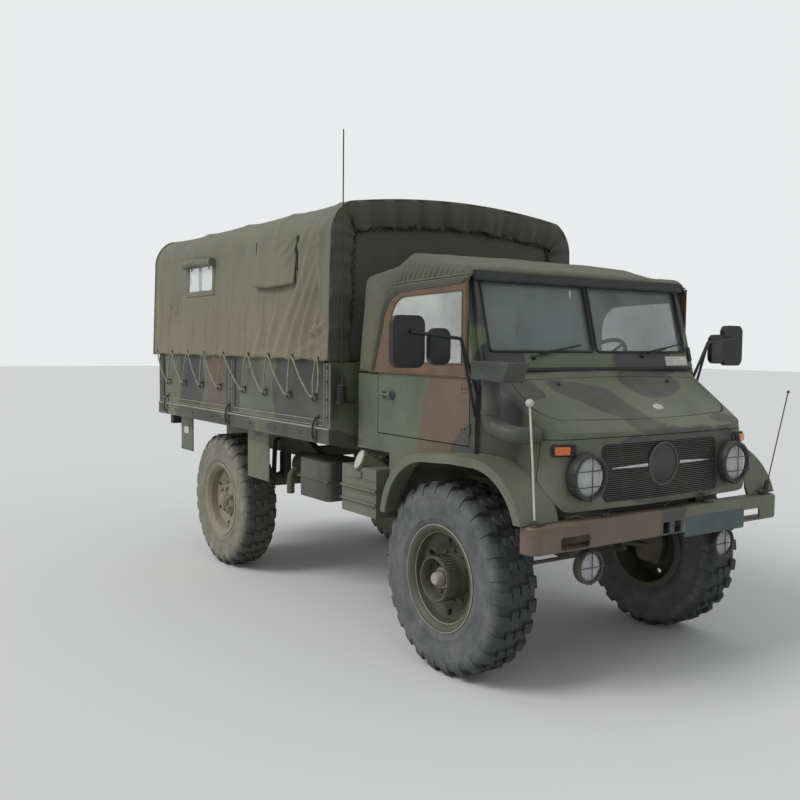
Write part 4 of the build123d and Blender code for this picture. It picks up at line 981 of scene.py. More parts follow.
def make_cover_front(cover_parts):
    """The front: a band gathered in pleats to a laced edge, round a flat wall set back, both in darker canvas as
    painted shade.
    """
    around, inward = 300, 9
    rows = []
    for step in range(around + 1):
        along = GIRTH * step / around
        (y, z), out = outline_at(along)
        shoulder = eased(z, 2.2, 2.5)
        pleat = 1.2 * math.sin(along * 26 + 2.6 * math.sin(along * 4.1)) + 0.6 * math.sin(along * 61 + 1)
        side = RIGHT if along < GIRTH / 2 else LEFT
        edge = cover_relief(cover_high.x, z, side)
        line = []
        for place in range(inward + 1):
            share = place / inward
            reach = 0.178 * share + 0.010 * math.sin(along * 23) * share * shoulder
            push = edge * (1 - share) - reach
            x = cover_high.x - 0.030 * share + 0.014 * math.sin(math.pi * share) - 0.004
            x += pleat * (0.003 + 0.013 * share * (0.35 + 0.65 * shoulder))
            line.append(Vector((x, y + out.x * push, z + out.y * push)))
        rows.append(line)
    # The front band and wall take the darker canvas as painted shade
    band = sheet_piece("cover_front_band", rows, dark_canvas_and_painted_shade, spacing=(GIRTH / around, 0.02))
    wall = sheet_piece("cover_front_wall", grid_of(front_wall_spot, 60, 50), dark_canvas_and_painted_shade, spacing=(0.03, 0.018))
    lace = []
    for step in range(260):
        along = 0.25 + (GIRTH - 0.5) * step / 259
        (y, z), out = outline_at(along)
        reach = -0.186 + 0.012 * math.sin(step * math.pi / 2)
        x = cover_high.x - 0.030 + 0.008 * math.cos(step * math.pi / 2)
        lace.append((x, y + out.x * reach, z + out.y * reach))
    cover_parts.extend([band, wall, tube_piece("cover_front_lacing", lace, 0.004, 6, seal_rubber)])


# The rolled rear curtain: its straps, half its length, and how far its middle is ahead of the cover's rear edge
ROLL_STRAPS_Y = (-0.6, -0.2, 0.2, 0.6)
ROLL_HALF = 0.84
ROLL_AHEAD = 0.085


def roll_height(y, middle):
    """The height of the rolled curtain, which sags to both ends."""
    return middle - 0.03 * (y / ROLL_HALF) ** 2


def make_cover_rear(cover_parts):
    """The rear: a doubled hem round the opening and the curtain rolled up under the last hoop."""
    hem = []
    for step in range(121):
        (y, z), out = outline_at(GIRTH * step / 120)
        hem.append((cover_low.x + 0.012, y + out.x * 0.002, z + out.y * 0.002))
    cover_parts.append(tube_piece("cover_rear_hem", hem, 0.011, 8, canvas))
    roll, radii = [], []
    for step in range(61):
        y = ROLL_HALF * (step / 30 - 1)
        tied = min(abs(y - strap) for strap in ROLL_STRAPS_Y)
        radii.append(0.048 + 0.016 * eased(tied, 0.0, 0.12) + 0.004 * math.sin(step * 1.7))
        roll.append(Vector((cover_low.x + ROLL_AHEAD, y, roll_height(y, 2.585) - 0.006 * math.sin(step * 0.9))))
    cover_parts.append(tube_piece("cover_rear_roll", roll, radii, 20, canvas))
    form = bmesh.new()
    for y in ROLL_STRAPS_Y:
        centre = Vector((cover_low.x + ROLL_AHEAD, y, roll_height(y, 2.590)))
        loop = []
        for turn in round_turns(20):
            knot = 0.05 if math.sin(turn) > 0.9 else 0
            loop.append(centre + Vector((0.055 * math.cos(turn), 0, 0.055 * math.sin(turn) + knot)))
        add_tube(form, loop, 0.007, 6, closed=True)
    cover_parts.append(piece_of(form, "cover_roll_straps", seal_rubber))


BOARD_FACE = 1.012
HOOK_WIRE = [(0, 0.012, 0.0), (0, 0.012, 0.022), (0, -0.002, 0.032), (0, -0.022, 0.026), (0, -0.030, 0.014)]


def make_lacing(cover_parts):
    """Rope through the hem's eyelets and round the hooks on the boards."""
    eyelet, hook, ropes = bmesh.new(), bmesh.new(), bmesh.new()
    add_turned(eyelet, [(0.009, -0.002), (0.018, -0.002), (0.018, 0.002), (0.009, 0.003)], (0, 0, 0), UP, 14)
    add_block(hook, (-0.012, -0.026, 0.0), (0.012, 0.026, 0.004))
    add_tube(hook, smooth_path(HOOK_WIRE, 3), 0.005, 7)
    eyelets, hooks = [], []
    for side, _ in SIDES:
        for x in EYELETS:
            eyelets.append((cover_point(x, height_to_length(EYELET_Z, side), 0.004), facing((0, side, 0))))
        for x in HOOKS:
            hooks.append((Vector((x, side * BOARD_FACE, HOOK_Z)), (math.radians(-90 * side), 0, 0)))
        rope = []
        for x, at_eyelet in sorted([(x, True) for x in EYELETS] + [(x, False) for x in HOOKS]):
            if at_eyelet:
                spot = cover_point(x, height_to_length(EYELET_Z, side), 0.012)
            else:
                spot = Vector((x, side * 1.046, HOOK_Z - 0.004))
            if rope:
                slack = Vector((0.006 * math.sin(31 * x), side * 0.006, -0.010 - 0.008 * math.sin(17 * x)))
                rope.append(rope[-1].lerp(spot, 0.5) + slack)
            rope.append(spot)
        tail = rope[-1] + Vector((0.03, side * 0.01, -0.22))
        rope.extend([rope[-1].lerp(tail, 0.5) + Vector((0.02, 0, 0)), tail])
        add_tube(ropes, smooth_path(rope, 4), 0.0055, 7)
    cover_parts.append(scattered(eyelet, "cover_eyelets", eyelets, black_enamel))
    cover_parts.append(piece_of(ropes, "cover_rope", hemp_rope))
    scattered(hook, "rope_hooks", hooks, black_enamel)


cover_cloth = make_cover()
cover_extras = []
make_cover_windows(cover_extras)
make_cover_front(cover_extras)
make_cover_rear(cover_extras)
make_lacing(cover_extras)

# Wheels

TYRE_SECTION = [
    (0.289, 0.100), (0.290, 0.121), (0.300, 0.127), (0.318, 0.131), (0.322, 0.1345), (0.330, 0.1345), (0.334, 0.132),
    (0.370, 0.1365), (0.400, 0.138), (0.430, 0.137), (0.436, 0.1395), (0.446, 0.1395), (0.450, 0.136),
    (0.468, 0.130), (0.484, 0.121), (0.493, 0.108), (0.496, 0.090), (0.498, 0.045),
]
LUGS_PER_SIDE = 26
WHEEL_DIAMETER = 1.04
SIDEWALL_EDGE = 0.462
SHOULDER_LUG = [
    (0.058, 0.490), (0.058, 0.5195), (0.106, 0.5195), (0.122, 0.500), (0.1405, 0.462), (0.1405, 0.434), (0.128, 0.428),
]
CENTRE_LUG = [(0.006, 0.490), (0.006, 0.5190), (0.050, 0.5190), (0.050, 0.490)]


def lug_form():
    """One step of the tread: a bar lug over the shoulder and its staggered centre block."""
    form = bmesh.new()
    for outline, middle, width in ((SHOULDER_LUG, 0.0, 0.034), (CENTRE_LUG, 0.028, 0.029)):
        walls = []
        for hand in (-1, 1):
            wall = []
            for offset, radius in outline:
                half = width - 0.18 * max(0.0, radius - 0.500) - 0.05 * max(0.0, SIDEWALL_EDGE - radius)
                lean = 0.12 * (offset - 0.09) if outline is SHOULDER_LUG else 0.15 * (offset - 0.028)
                ahead = middle + hand * half + lean
                wall.append(Vector((ahead, offset, radius - ahead * ahead / WHEEL_DIAMETER)))
            walls.append(wall)
        add_rings(form, walls)
    bmesh.ops.recalc_face_normals(form, faces=form.faces)
    bmesh.ops.bevel(form, geom=form.edges[:], offset=0.003, segments=1, affect="EDGES", clamp_overlap=True)
    return form


def make_tyre(name, hub, material):
    """A tyre: carcass with rounded sidewalls and rim ridges, and two rows of lugs."""
    form = bmesh.new()
    outline = [*TYRE_SECTION, *((radius, -offset) for radius, offset in TYRE_SECTION[::-1])]
    add_turned(form, outline, hub, segments=108)
    carcass = piece_of(form, f"tyre_{name}_carcass", material, f"wheel_{name}", smooth=50)
    places = []
    for row in (0, 1):
        for step in range(LUGS_PER_SIDE):
            turn = (step + 0.5 * row) * 2 * math.pi / LUGS_PER_SIDE
            spin = Matrix.Rotation(turn, 3, "Y") @ Matrix.Rotation(math.pi * row, 3, "Z")
            places.append((Vector(hub), tuple(spin.to_euler())))
    tread = scattered(lug_form(), f"tyre_{name}_lugs", places, material, f"wheel_{name}", smooth=30)
    for piece in (carcass, tread):
        shade = piece.data.attributes.new("sidewall", "FLOAT", "POINT")
        for row, vertex in zip(shade.data, piece.data.vertices):
            row.value = 0.95 - 0.75 * eased((vertex.co - hub).xz.length, SIDEWALL_EDGE, 0.505)
    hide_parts(f"tyre_{name}")


RIM_BED = [
    (0.246, -0.128), (0.285, -0.1285), (0.289, -0.124), (0.285, -0.1185), (0.258, -0.108), (0.252, -0.096),
    (0.252, 0.096), (0.258, 0.108), (0.285, 0.1185), (0.289, 0.124), (0.285, 0.1285), (0.274, 0.129),
    (0.262, 0.122), (0.248, 0.104), (0.243, 0.092), (0.243, -0.110),
]
FRONT_DISC = [
    (0.046, -0.035), (0.100, -0.035), (0.100, -0.005), (0.150, -0.005), (0.190, 0.030), (0.244, 0.044),
    (0.244, 0.056), (0.222, 0.055), (0.196, 0.046), (0.184, 0.042), (0.158, 0.016), (0.150, 0.014), (0.125, 0.014),
    (0.122, 0.022), (0.122, 0.154), (0.119, 0.160), (0.112, 0.160), (0.109, 0.154), (0.108, 0.092), (0.046, 0.088),
]
REAR_DISC = [
    (0.046, -0.035), (0.100, -0.035), (0.100, 0.010), (0.150, 0.014), (0.205, 0.044), (0.244, 0.035),
    (0.244, 0.047), (0.222, 0.055), (0.203, 0.057), (0.180, 0.048), (0.146, 0.030), (0.122, 0.030), (0.116, 0.050),
    (0.104, 0.068), (0.088, 0.075), (0.072, 0.077), (0.062, 0.080), (0.060, 0.100), (0.046, 0.103),
]
FRONT_BOSS = [
    (0.0, 0.086), (0.056, 0.086), (0.056, 0.104), (0.038, 0.108), (0.034, 0.148), (0.028, 0.156), (0.0, 0.156),
]
REAR_BOSS = [(0.0, 0.098), (0.048, 0.098), (0.046, 0.112), (0.034, 0.116), (0.030, 0.121), (0.0, 0.124)]
WHEEL_NUT_RING = 0.139
HAND_HOLE_RING = 0.196
HAND_HOLE = [(0.0, -0.05), (0.018, -0.05), (0.018, 0.12), (0.0, 0.12)]
# Rolled edges of a rim: radius, offset from the wheel's middle and half thickness
EDGE_RINGS = [(0.2872, 0.1255, 0.0038), (0.2465, 0.0985, 0.0030)]
RIBS = 44
# Each kind of rim: disc, boss, the hub nuts' ring and offset, their size across and height, the wheel nuts' offset
FRONT_RIM = (FRONT_DISC, FRONT_BOSS, (0.080, 0.090), (0.018, 0.010), 0.010)
REAR_RIM = (REAR_DISC, REAR_BOSS, (0.090, 0.075), (0.030, 0.026), 0.030)


def round_places(hub, out, ring, offset, count, first=0.0):
    """Places round a wheel, each turned to face outward."""
    places = []
    for step in range(count):
        turn = math.radians(first + 360 * step / count)
        spot = hub + Vector((ring * math.cos(turn), out.y * offset, ring * math.sin(turn)))
        places.append((spot, facing(out, turn)))
    return places


def make_rim(name, hub, side, front):
    """A steel rim: bed with rolled edges, dished disc with hand holes, hub and its nuts."""
    body = f"wheel_{name}"
    out = Vector((0, side, 0))
    paint, boss_finish = (rim_enamel, worn_edge_and_painted_highlight) if front else (dusty_rim, dusty_rim)
    dish, boss, hub_ring, hub_nut, wheel_nuts_out = FRONT_RIM if front else REAR_RIM
    turned_piece(f"rim_{name}_bed", RIM_BED, hub, out, 96, paint, body, smooth=35)
    disc = turned_piece(f"rim_{name}_disc", dish, hub, out, 96, paint, body, smooth=35)
    cutters = bmesh.new()
    for spot, _ in round_places(hub, out, HAND_HOLE_RING, 0.0, 6, 30):
        add_turned(cutters, HAND_HOLE, spot, out, 20)
    cutter = loose_form(cutters, "hand_holes")
    modified(disc, "BOOLEAN", object=cutter, solver="EXACT")
    bpy.data.objects.remove(cutter)
    disc.data.set_sharp_from_angle(angle=SHARP_EDGE)
    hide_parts(f"rim_{name}")
    form = bmesh.new()
    for radius, offset, thick in EDGE_RINGS:
        add_turned(form, wire_profile(radius, offset, thick, 8), hub, out, 96)
    piece_of(form, f"rim_{name}_edges", worn_edge_and_painted_highlight, body)
    turned_piece(f"rim_{name}_boss", boss, hub, out, 32, boss_finish, body, smooth=35)
    scattered(bolt_form(*hub_nut), f"rim_{name}_nuts", round_places(hub, out, *hub_ring, 6, 15), paint, body)
    nuts = round_places(hub, out, WHEEL_NUT_RING, wheel_nuts_out, 12)
    scattered(bolt_form(0.019, 0.016), f"rim_{name}_wheel_nuts", nuts, paint, body)
    if front:
        rib = bmesh.new()
        add_block(rib, (-0.0025, -0.040, -0.001), (0.0025, 0.040, 0.0045))
        ribs = []
        for turn in round_turns(RIBS):
            direction = Vector((math.cos(turn), 0, math.sin(turn)))
            spin = Matrix((out.cross(direction).normalized(), out, direction)).transposed()
            ribs.append((hub + direction * 0.122 + out * 0.108, tuple(spin.to_euler())))
        scattered(rib, f"rim_{name}_ribs", ribs, paint, body)


for wheel in ("front_left", "front_right", "rear_left", "rear_right"):
    wheel_hub = JOINT_AT[f"roll_{wheel}"]
    at_front = wheel_hub.x > 0
    make_tyre(wheel, wheel_hub, rubber if at_front else dusty_rubber)
    make_rim(wheel, wheel_hub, LEFT if wheel_hub.y > 0 else RIGHT, at_front)

# The nose: grille, badge disc, lamps and bonnet fittings

HEADLAMP_Y, HEADLAMP_Z = 0.576, 1.13
HEADLAMP_HOLE = 0.128
LAMP_FRONT = 2.452
MASK_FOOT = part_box("front_panel")[0].z
# How far to each side the mask is gently bowed; beyond it the mask rounds off
MASK_BOWED = 0.66
GRILLE_LOW, GRILLE_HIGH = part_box("grille")
GRILLE_CORNER = 0.04
SLATS = 28
BADGE_Z = 1.158


def mask_x(y, z):
    """Where the mask's face is: bowed in plan, rounded at its sides and leaning back a little."""
    tip = 2.438 - 0.05625 * (z - 0.7)
    round_off = max(0.0, abs(y) - MASK_BOWED)
    return tip - 0.030 * (min(abs(y), MASK_BOWED) / MASK_BOWED) ** 2 - 0.30 * round_off - 1.6 * round_off ** 2


def grille_reach(z):
    """How far to each side the grille's opening goes at a height."""
    edge = min(z - GRILLE_LOW.z, GRILLE_HIGH.z - z)
    reach = GRILLE_HIGH.y
    if edge < GRILLE_CORNER:
        reach -= GRILLE_CORNER - math.sqrt(GRILLE_CORNER ** 2 - (GRILLE_CORNER - edge) ** 2)
    off = abs(z - HEADLAMP_Z)
    if off < HEADLAMP_HOLE:
        reach = min(reach, HEADLAMP_Y - math.sqrt(HEADLAMP_HOLE ** 2 - off ** 2))
    return reach


def make_grille():
    """Fine pressed slats on four uprights, a black sheet behind them for the mesh and painted shade, a blank disc with
    its rim, and two tapering trim bars.
    """
    form = bmesh.new()
    for row in range(SLATS):
        z = GRILLE_LOW.z + 0.006 + row * (GRILLE_HIGH.z - GRILLE_LOW.z - 0.012) / (SLATS - 1)
        reach = grille_reach(z) - 0.002
        rings = []
        for step in range(15):
            y = -reach + 2 * reach * step / 14
            x = mask_x(y, z) - 0.005
            back = x - 0.008
            rings.append([(back, y, z - 0.001), (x, y, z - 0.0032), (x, y, z + 0.0022), (back, y, z + 0.0042)])
        add_rings(form, rings)
    for y in (-0.3, -0.112, 0.112, 0.3):
        rings = []
        for step in range(7):
            z = GRILLE_LOW.z + (GRILLE_HIGH.z - GRILLE_LOW.z) * step / 6
            x = mask_x(y, z) - 0.012
            rings.append([(x - 0.006, y - 0.006, z), (x, y - 0.006, z), (x, y + 0.006, z), (x - 0.006, y + 0.006, z)])
        add_rings(form, rings)
    slats = piece_of(form, "grille_slats", black_enamel)
    # A solid black sheet behind the slats: the grille's mesh, and painted shade in the opening
    form = bmesh.new()
    rings = []
    for row in range(25):
        z = GRILLE_LOW.z + 0.004 + row * (GRILLE_HIGH.z - GRILLE_LOW.z - 0.008) / 24
        reach = grille_reach(z) + 0.001
        line = [Vector((mask_x(y, z) - 0.021, y, z)) for y in (reach * (step / 6 - 1) for step in range(13))]
        rings.append([*line, *(point - Vector((0.002, 0, 0)) for point in line[::-1])])
    add_rings(form, rings)
    piece_of(form, "grille_gauze", seal_rubber, slot="dark_paint")
    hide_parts("grille")
    middle = Vector((mask_x(0, BADGE_Z) - 0.006, 0, BADGE_Z))
    disc = [(0.0, -0.006), (0.108, -0.006), (0.108, 0.0), (0.0, 0.002)]
    turned_piece("badge_disc", disc, middle, AHEAD, 64, black_enamel)
    turned_piece("badge_rim", wire_profile(0.1105, 0.002, 0.006, 10), middle, AHEAD, 64, dark_enamel)
    form = bmesh.new()
    for side, _ in SIDES:
        rings = []
        for step in range(9):
            share = step / 8
            y = side * (0.126 + 0.262 * share)
            z = 1.160 - 0.004 * share
            half = 0.0085 - 0.0060 * share
            x = mask_x(y, z) - 0.003
            rings.append([
                (x - 0.006, y, z - half), (x + 0.004, y, z - half), (x + 0.006, y, z), (x + 0.004, y, z + half),
                (x - 0.006, y, z + half),
            ])
        add_rings(form, rings)
    piece_of(form, "grille_bars", bright_steel, soften=0.001)


# Profiles of a lamp of the headlamp's size: radius and height over its face
LAMP_RADIUS = 0.119
LAMP_RING = [
    (0.094, -0.014), (0.098, -0.003), (0.106, 0.0), (0.115, -0.004), (0.119, -0.014), (0.119, -0.045),
    (0.114, -0.066), (0.094, -0.066),
]
LAMP_REFLECTOR = [
    (0.093, -0.022), (0.096, -0.022), (0.073, -0.064), (0.032, -0.090), (0.0, -0.094), (0.0, -0.090),
    (0.030, -0.086), (0.070, -0.062),
]
LAMP_GLASS = [
    (0.0, -0.006), (0.030, -0.0075), (0.058, -0.0125), (0.080, -0.020), (0.096, -0.029), (0.096, -0.033),
    (0.078, -0.024), (0.056, -0.0165), (0.028, -0.0115), (0.0, -0.010),
]
LAMP_BULB = [(0.0, -0.084), (0.012, -0.084), (0.012, -0.050), (0.008, -0.044), (0.0, -0.042)]


def make_lamp(name, face, radius, wires):
    """A round lamp facing ahead: black ring, bowl, reflector, domed fluted glass and a wire guard."""
    size = radius / LAMP_RADIUS
    for part, finish, profile in (
        ("ring", black_enamel, LAMP_RING), ("reflector", silvered, LAMP_REFLECTOR), ("glass", lamp_glass, LAMP_GLASS),
    ):
        turned_piece(f"{name}_{part}", [(r * size, h * size) for r, h in profile], face, AHEAD, 56, finish)
    turned_piece(f"{name}_bulb", LAMP_BULB, face, AHEAD, 20, silvered)
    front, reach, back = 0.0008, 0.108 * size, -0.030
    paths = []
    for share in wires:
        z = share * radius
        out = math.sqrt(max(radius ** 2 - z ** 2, 0.0)) + 0.018
        paths.append([
            (back, -out, z), (-0.010, -out + 0.004, z), (front, -reach * 0.86, z), (front, reach * 0.86, z),
            (-0.010, out - 0.004, z), (back, out, z),
        ])
    paths.append([
        (back, 0, radius + 0.004), (-0.008, 0, radius - 0.004), (front, 0, radius * 0.84),
        (front, 0, -radius * 0.84), (-0.008, 0, 0.004 - radius), (back, 0, -radius - 0.004),
    ])
    guard = bmesh.new()
    for path in paths:
        add_tube(guard, smooth_path([face + Vector(point) for point in path], 5), 0.0026, 7)
    piece_of(guard, f"{name}_guard", black_enamel)


def add_rounded(form, centre, half_y, half_z, corner, depth, lean, ease=0.002):
    """A slab with rounded corners facing ahead; lean turns it about the upright through its centre."""
    turn = Matrix.Rotation(lean, 3, "Z")
    rings = []
    for back, inset in ((0.0, 0.0), (depth - ease, 0.0), (depth, ease)):
        ring = []
        for quarter, (sy, sz) in enumerate(((1, 1), (-1, 1), (-1, -1), (1, -1))):
            for step in range(5):
                angle = math.radians(90 * quarter + 90 * step / 4)
                y = sy * (half_y - corner) + (corner - inset) * math.cos(angle)
                z = sz * (half_z - corner) + (corner - inset) * math.sin(angle)
                ring.append(Vector(centre) + turn @ Vector((back, y, z)))
        rings.append(ring)
    add_rings(form, rings)


# Each part of an indicator: finish, place ahead and outward, half width, half height, corner and depth, and softening
INDICATOR_PARTS = (
    ("bezel", seal_rubber, (0.0, 0.0), (0.066, 0.030, 0.014, 0.015), 0.002),
    ("amber", amber_lens, (0.012, 0.016), (0.040, 0.020, 0.006, 0.010), 0.0),
    ("clear", clear_lens, (0.012, -0.043), (0.016, 0.020, 0.005, 0.008), 0.0),
)


def make_indicators():
    """Indicators in rubber bezels beside the headlamps: amber outside, clear inside."""
    for side, side_name in SIDES:
        y, z = side * 0.690, 1.260
        lean = side * math.radians(20)
        base = Vector((mask_x(y, z) - 0.004, y, z))
        for part, finish, (ahead, outward), size, soften in INDICATOR_PARTS:
            form = bmesh.new()
            add_rounded(form, base + Vector((ahead, side * outward, 0)), *size, lean)
            piece_of(form, f"indicator_{side_name}_{part}", finish, soften=soften)


DRIVING_LAMP_RADIUS = 0.088
DRIVING_LAMP_SHELL = [
    (0.0, -0.076), (0.030, -0.074), (0.060, -0.062), (0.080, -0.040), (0.0855, -0.030), (0.070, -0.030), (0.0, -0.070),
]


def make_front_lamps():
    """Headlamps in the mask, driving lamps hung under the bumper, and the indicators."""
    for side, side_name in SIDES:
        face = Vector((LAMP_FRONT, side * HEADLAMP_Y, HEADLAMP_Z))
        make_lamp(f"headlamp_{side_name}", face, LAMP_RADIUS, (0.27, -0.38))
        low_face = Vector((2.420, side * 0.53, 0.675))
        make_lamp(f"driving_lamp_{side_name}", low_face, DRIVING_LAMP_RADIUS, (0.0,))
        form = bmesh.new()
        add_turned(form, DRIVING_LAMP_SHELL, low_face, AHEAD, 40)
        add_tube(form, [low_face + Vector((-0.03, 0, 0.080)), low_face + Vector((-0.03, 0, 0.112))], 0.010, 12)
        add_block(form, low_face + Vector((-0.060, -0.035, 0.104)), low_face + Vector((0.0, 0.035, 0.1105)))
        piece_of(form, f"driving_lamp_{side_name}_shell", black_enamel)
    make_indicators()
    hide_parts("front_lamps")


# The bonnet's slope between its two ends, (x, z)
BONNET_REAR, BONNET_FRONT = (1.940, 1.627), (2.330, 1.368)
BONNET_SLOPE = (BONNET_REAR[1] - BONNET_FRONT[1]) / (BONNET_FRONT[0] - BONNET_REAR[0])


def bonnet_point(x, y, lift=0.0):
    """A point on the bonnet's crowned slope."""
    crown = 0.014 * (1 - (y / 0.76) ** 2)
    return Vector((x, y, BONNET_REAR[1] - (x - BONNET_REAR[0]) * BONNET_SLOPE + crown + lift))


def make_bonnet_fittings():
    """A pale oval filler cap and two rubber stops on the bonnet."""
    tilt = Matrix.Rotation(math.atan(BONNET_SLOPE), 4, "Y")
    for name, finish, spots, lift, half, around, up in (
        ("bonnet_cap", pale_paint, [(2.244, 0.144)], 0.002, (0.026, 0.037, 0.009, 1), 32, 14),
        ("bonnet_stops", seal_rubber, [(2.049, -0.423), (2.043, 0.459)], 0.003, (0.012, 0.012, 0.011, 1), 16, 8),
    ):
        form = bmesh.new()
        for x, y in spots:
            place = Matrix.Translation(bonnet_point(x, y, lift)) @ tilt @ Matrix.Diagonal(half)
            bmesh.ops.create_uvsphere(form, u_segments=around, v_segments=up, radius=1, matrix=place)
        piece_of(form, name, finish, "bonnet_body", "camouflage_paint")


def make_mask_notch():
    """The arched gap in the mask's lower edge, with its rolled rim."""
    rim = [(0.297 + 0.044 * math.cos(turn), MASK_FOOT + 0.003 + 0.025 * math.sin(turn))
           for turn in (math.pi - math.pi * step / 14 for step in range(15))]
    tube_piece("mask_notch_rim", [(mask_x(y, z) + 0.001, y, z) for y, z in rim], 0.0055, 8, enamel)
    form = bmesh.new()
    add_rings(form, [[(mask_x(y, z) + lift, y, z) for y, z in rim] for lift in (-0.006, 0.0012)])
    piece_of(form, "mask_notch_shade", seal_rubber)


make_grille()
make_front_lamps()
make_bonnet_fittings()
make_mask_notch()

# Bumper fittings

PLATE_FROM, PLATE_TO, PLATE_LOW, PLATE_HIGH = 0.122, 0.637, 0.760, 0.871
BUMPER_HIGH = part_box("front_bumper")[1]
LUGS_Y = (-0.90, -0.44, 0.36, 0.88)


def make_bumper_fittings():
    """The blank number plate on its bolts, a tow lever, bracket lugs and a cable behind the bumper."""
    form = bmesh.new()
    centre = Vector((BUMPER_HIGH.x - 0.0048, (PLATE_FROM + PLATE_TO) / 2, (PLATE_LOW + PLATE_HIGH) / 2))
    add_rounded(form, centre, (PLATE_TO - PLATE_FROM) / 2, (PLATE_HIGH - PLATE_LOW) / 2, 0.008, 0.005, 0.0, 0.001)
    piece_of(form, "number_plate", plate_enamel)
    bolts = [(Vector((BUMPER_HIGH.x - 0.0008, y, 0.855)), facing(AHEAD)) for y in (PLATE_FROM + 0.03, PLATE_TO - 0.03)]
    scattered(bolt_form(0.010, 0.001), "plate_bolts", bolts, worn_steel, size=0.6)
    form = bmesh.new()
    top = BUMPER_HIGH.z
    for y in LUGS_Y:
        add_block(form, (2.395, y - 0.028, top - 0.001), (2.440, y + 0.028, top + 0.007))
    add_tube(form, [(2.40, -0.70, top + 0.012), (2.43, -0.66, top + 0.026), (2.425, -0.60, top + 0.012)], 0.005, 8)
    add_tube(form, [(2.40, 0.02, top + 0.004), (2.405, 0.04, top + 0.022), (2.41, 0.12, top + 0.052)], 0.006, 8)
    piece_of(form, "bumper_lugs", black_enamel, soften=0.0015)
    bolts = [(Vector((2.418, y + off, top + 0.006)), facing(UP, y)) for y in LUGS_Y for off in (-0.014, 0.014)]
    scattered(bolt_form(0.013, 0.008), "bumper_bolts", bolts, worn_steel)
    cable = [(2.375, -0.62, top + 0.004), (2.39, -0.42, top + 0.020), (2.38, -0.20, top + 0.010),
             (2.395, 0.02, top + 0.018), (2.38, 0.22, top + 0.008)]
    tube_piece("bumper_cable", smooth_path(cable, 8), 0.005, 8, seal_rubber)


def make_marker_rods():
    """A pale ball-topped rod on the right, and a dark whip in a spring clamp on the left."""
    form = bmesh.new()
    base, top = Vector((2.430, -0.930, BUMPER_HIGH.z)), Vector((2.380, -0.930, 1.500))
    add_tube(form, [base + Vector((0, 0, 0.010)), base.lerp(top, 0.5) + Vector((0.004, 0, 0)), top], 0.005, 10)
    bmesh.ops.create_uvsphere(form, u_segments=24, v_segments=14, radius=0.020, matrix=Matrix.Translation(top))
    pale = piece_of(form, "marker_rod_pale", pale_paint)
    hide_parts("marker_rods")
    form = bmesh.new()
    socket = [(0.0, 0.0), (0.018, 0.0), (0.018, 0.006), (0.010, 0.010), (0.008, 0.030), (0.0, 0.032)]
    add_turned(form, socket, base, UP, 20)
    left_base, left_top = Vector((2.420, 0.887, BUMPER_HIGH.z)), Vector((2.420, 1.085, 1.512))
    add_tube(form, [left_base + Vector((0, 0.012, 0.035)), left_top], 0.0035, 8)
    bmesh.ops.create_uvsphere(form, u_segments=16, v_segments=10, radius=0.009, matrix=Matrix.Translation(left_top))
    lean = (left_top - left_base).normalized()
    for start, stop, radius in ((0.0, 0.030, 0.020), (0.034, 0.078, 0.015)):
        add_tube(form, [left_base + lean * start, left_base + lean * stop], radius, 16)
    add_tube(form, [left_base + Vector((0, -0.055, 0.016)), left_base + Vector((0, -0.010, 0.026))], 0.007, 10)
    piece_of(form, "marker_rod_dark", black_enamel)


make_bumper_fittings()
make_marker_rods()

# The soft top: one cloth over its bows, cut round the doors, with a rear wall and its light

TOP_FRONT_X = 1.832
TOP_REAR_X = 0.850
TOP_FOOT_Z = 1.602
TOP_HALF = 0.864
TOP_CORNER = 0.046
ROOF_LINE = [(0.850, 2.190), (0.98, 2.214), (1.165, 2.243), (1.240, 2.272), (1.300, 2.290), (1.360, 2.284),
             (1.560, 2.236), (1.800, 2.192), (1.824, 2.176), (1.834, 2.150)]
DOOR_RAIL = [(0.905, 1.597), (0.945, 1.716), (1.0, 1.88), (1.034, 1.975), (1.08, 2.04), (1.146, 2.084),
             (1.23, 2.104), (1.838, 2.122)]


def along_line(line, x):
    """The height of a line of (x, z) points at x."""
    if x <= line[0][0]:
        return line[0][1]
    for (x0, z0), (x1, z1) in zip(line, line[1:]):
        if x <= x1:
            return z0 + (z1 - z0) * (x - x0) / (x1 - x0)
    return line[-1][1]


def rear_lean(z):
    """How far behind its top the soft top's rear edge is at a height."""
    return -0.078 * (1 - min(1.0, max(0.0, (z - TOP_FOOT_Z) / 0.588)))


def top_place(share, z):
    """Where along the truck a row of the soft top is at a height: the rear rows lean."""
    return TOP_REAR_X + (TOP_FRONT_X - TOP_REAR_X) * share + rear_lean(z) * (1 - share) ** 2


def top_foot(share):
    """The height where a row of the soft top ends: at the belt, or at the door's rail."""
    foot = TOP_FOOT_Z
    for _ in range(14):
        foot = 0.5 * (foot + max(TOP_FOOT_Z, along_line(DOOR_RAIL, top_place(share, foot)) + 0.004))
    return foot


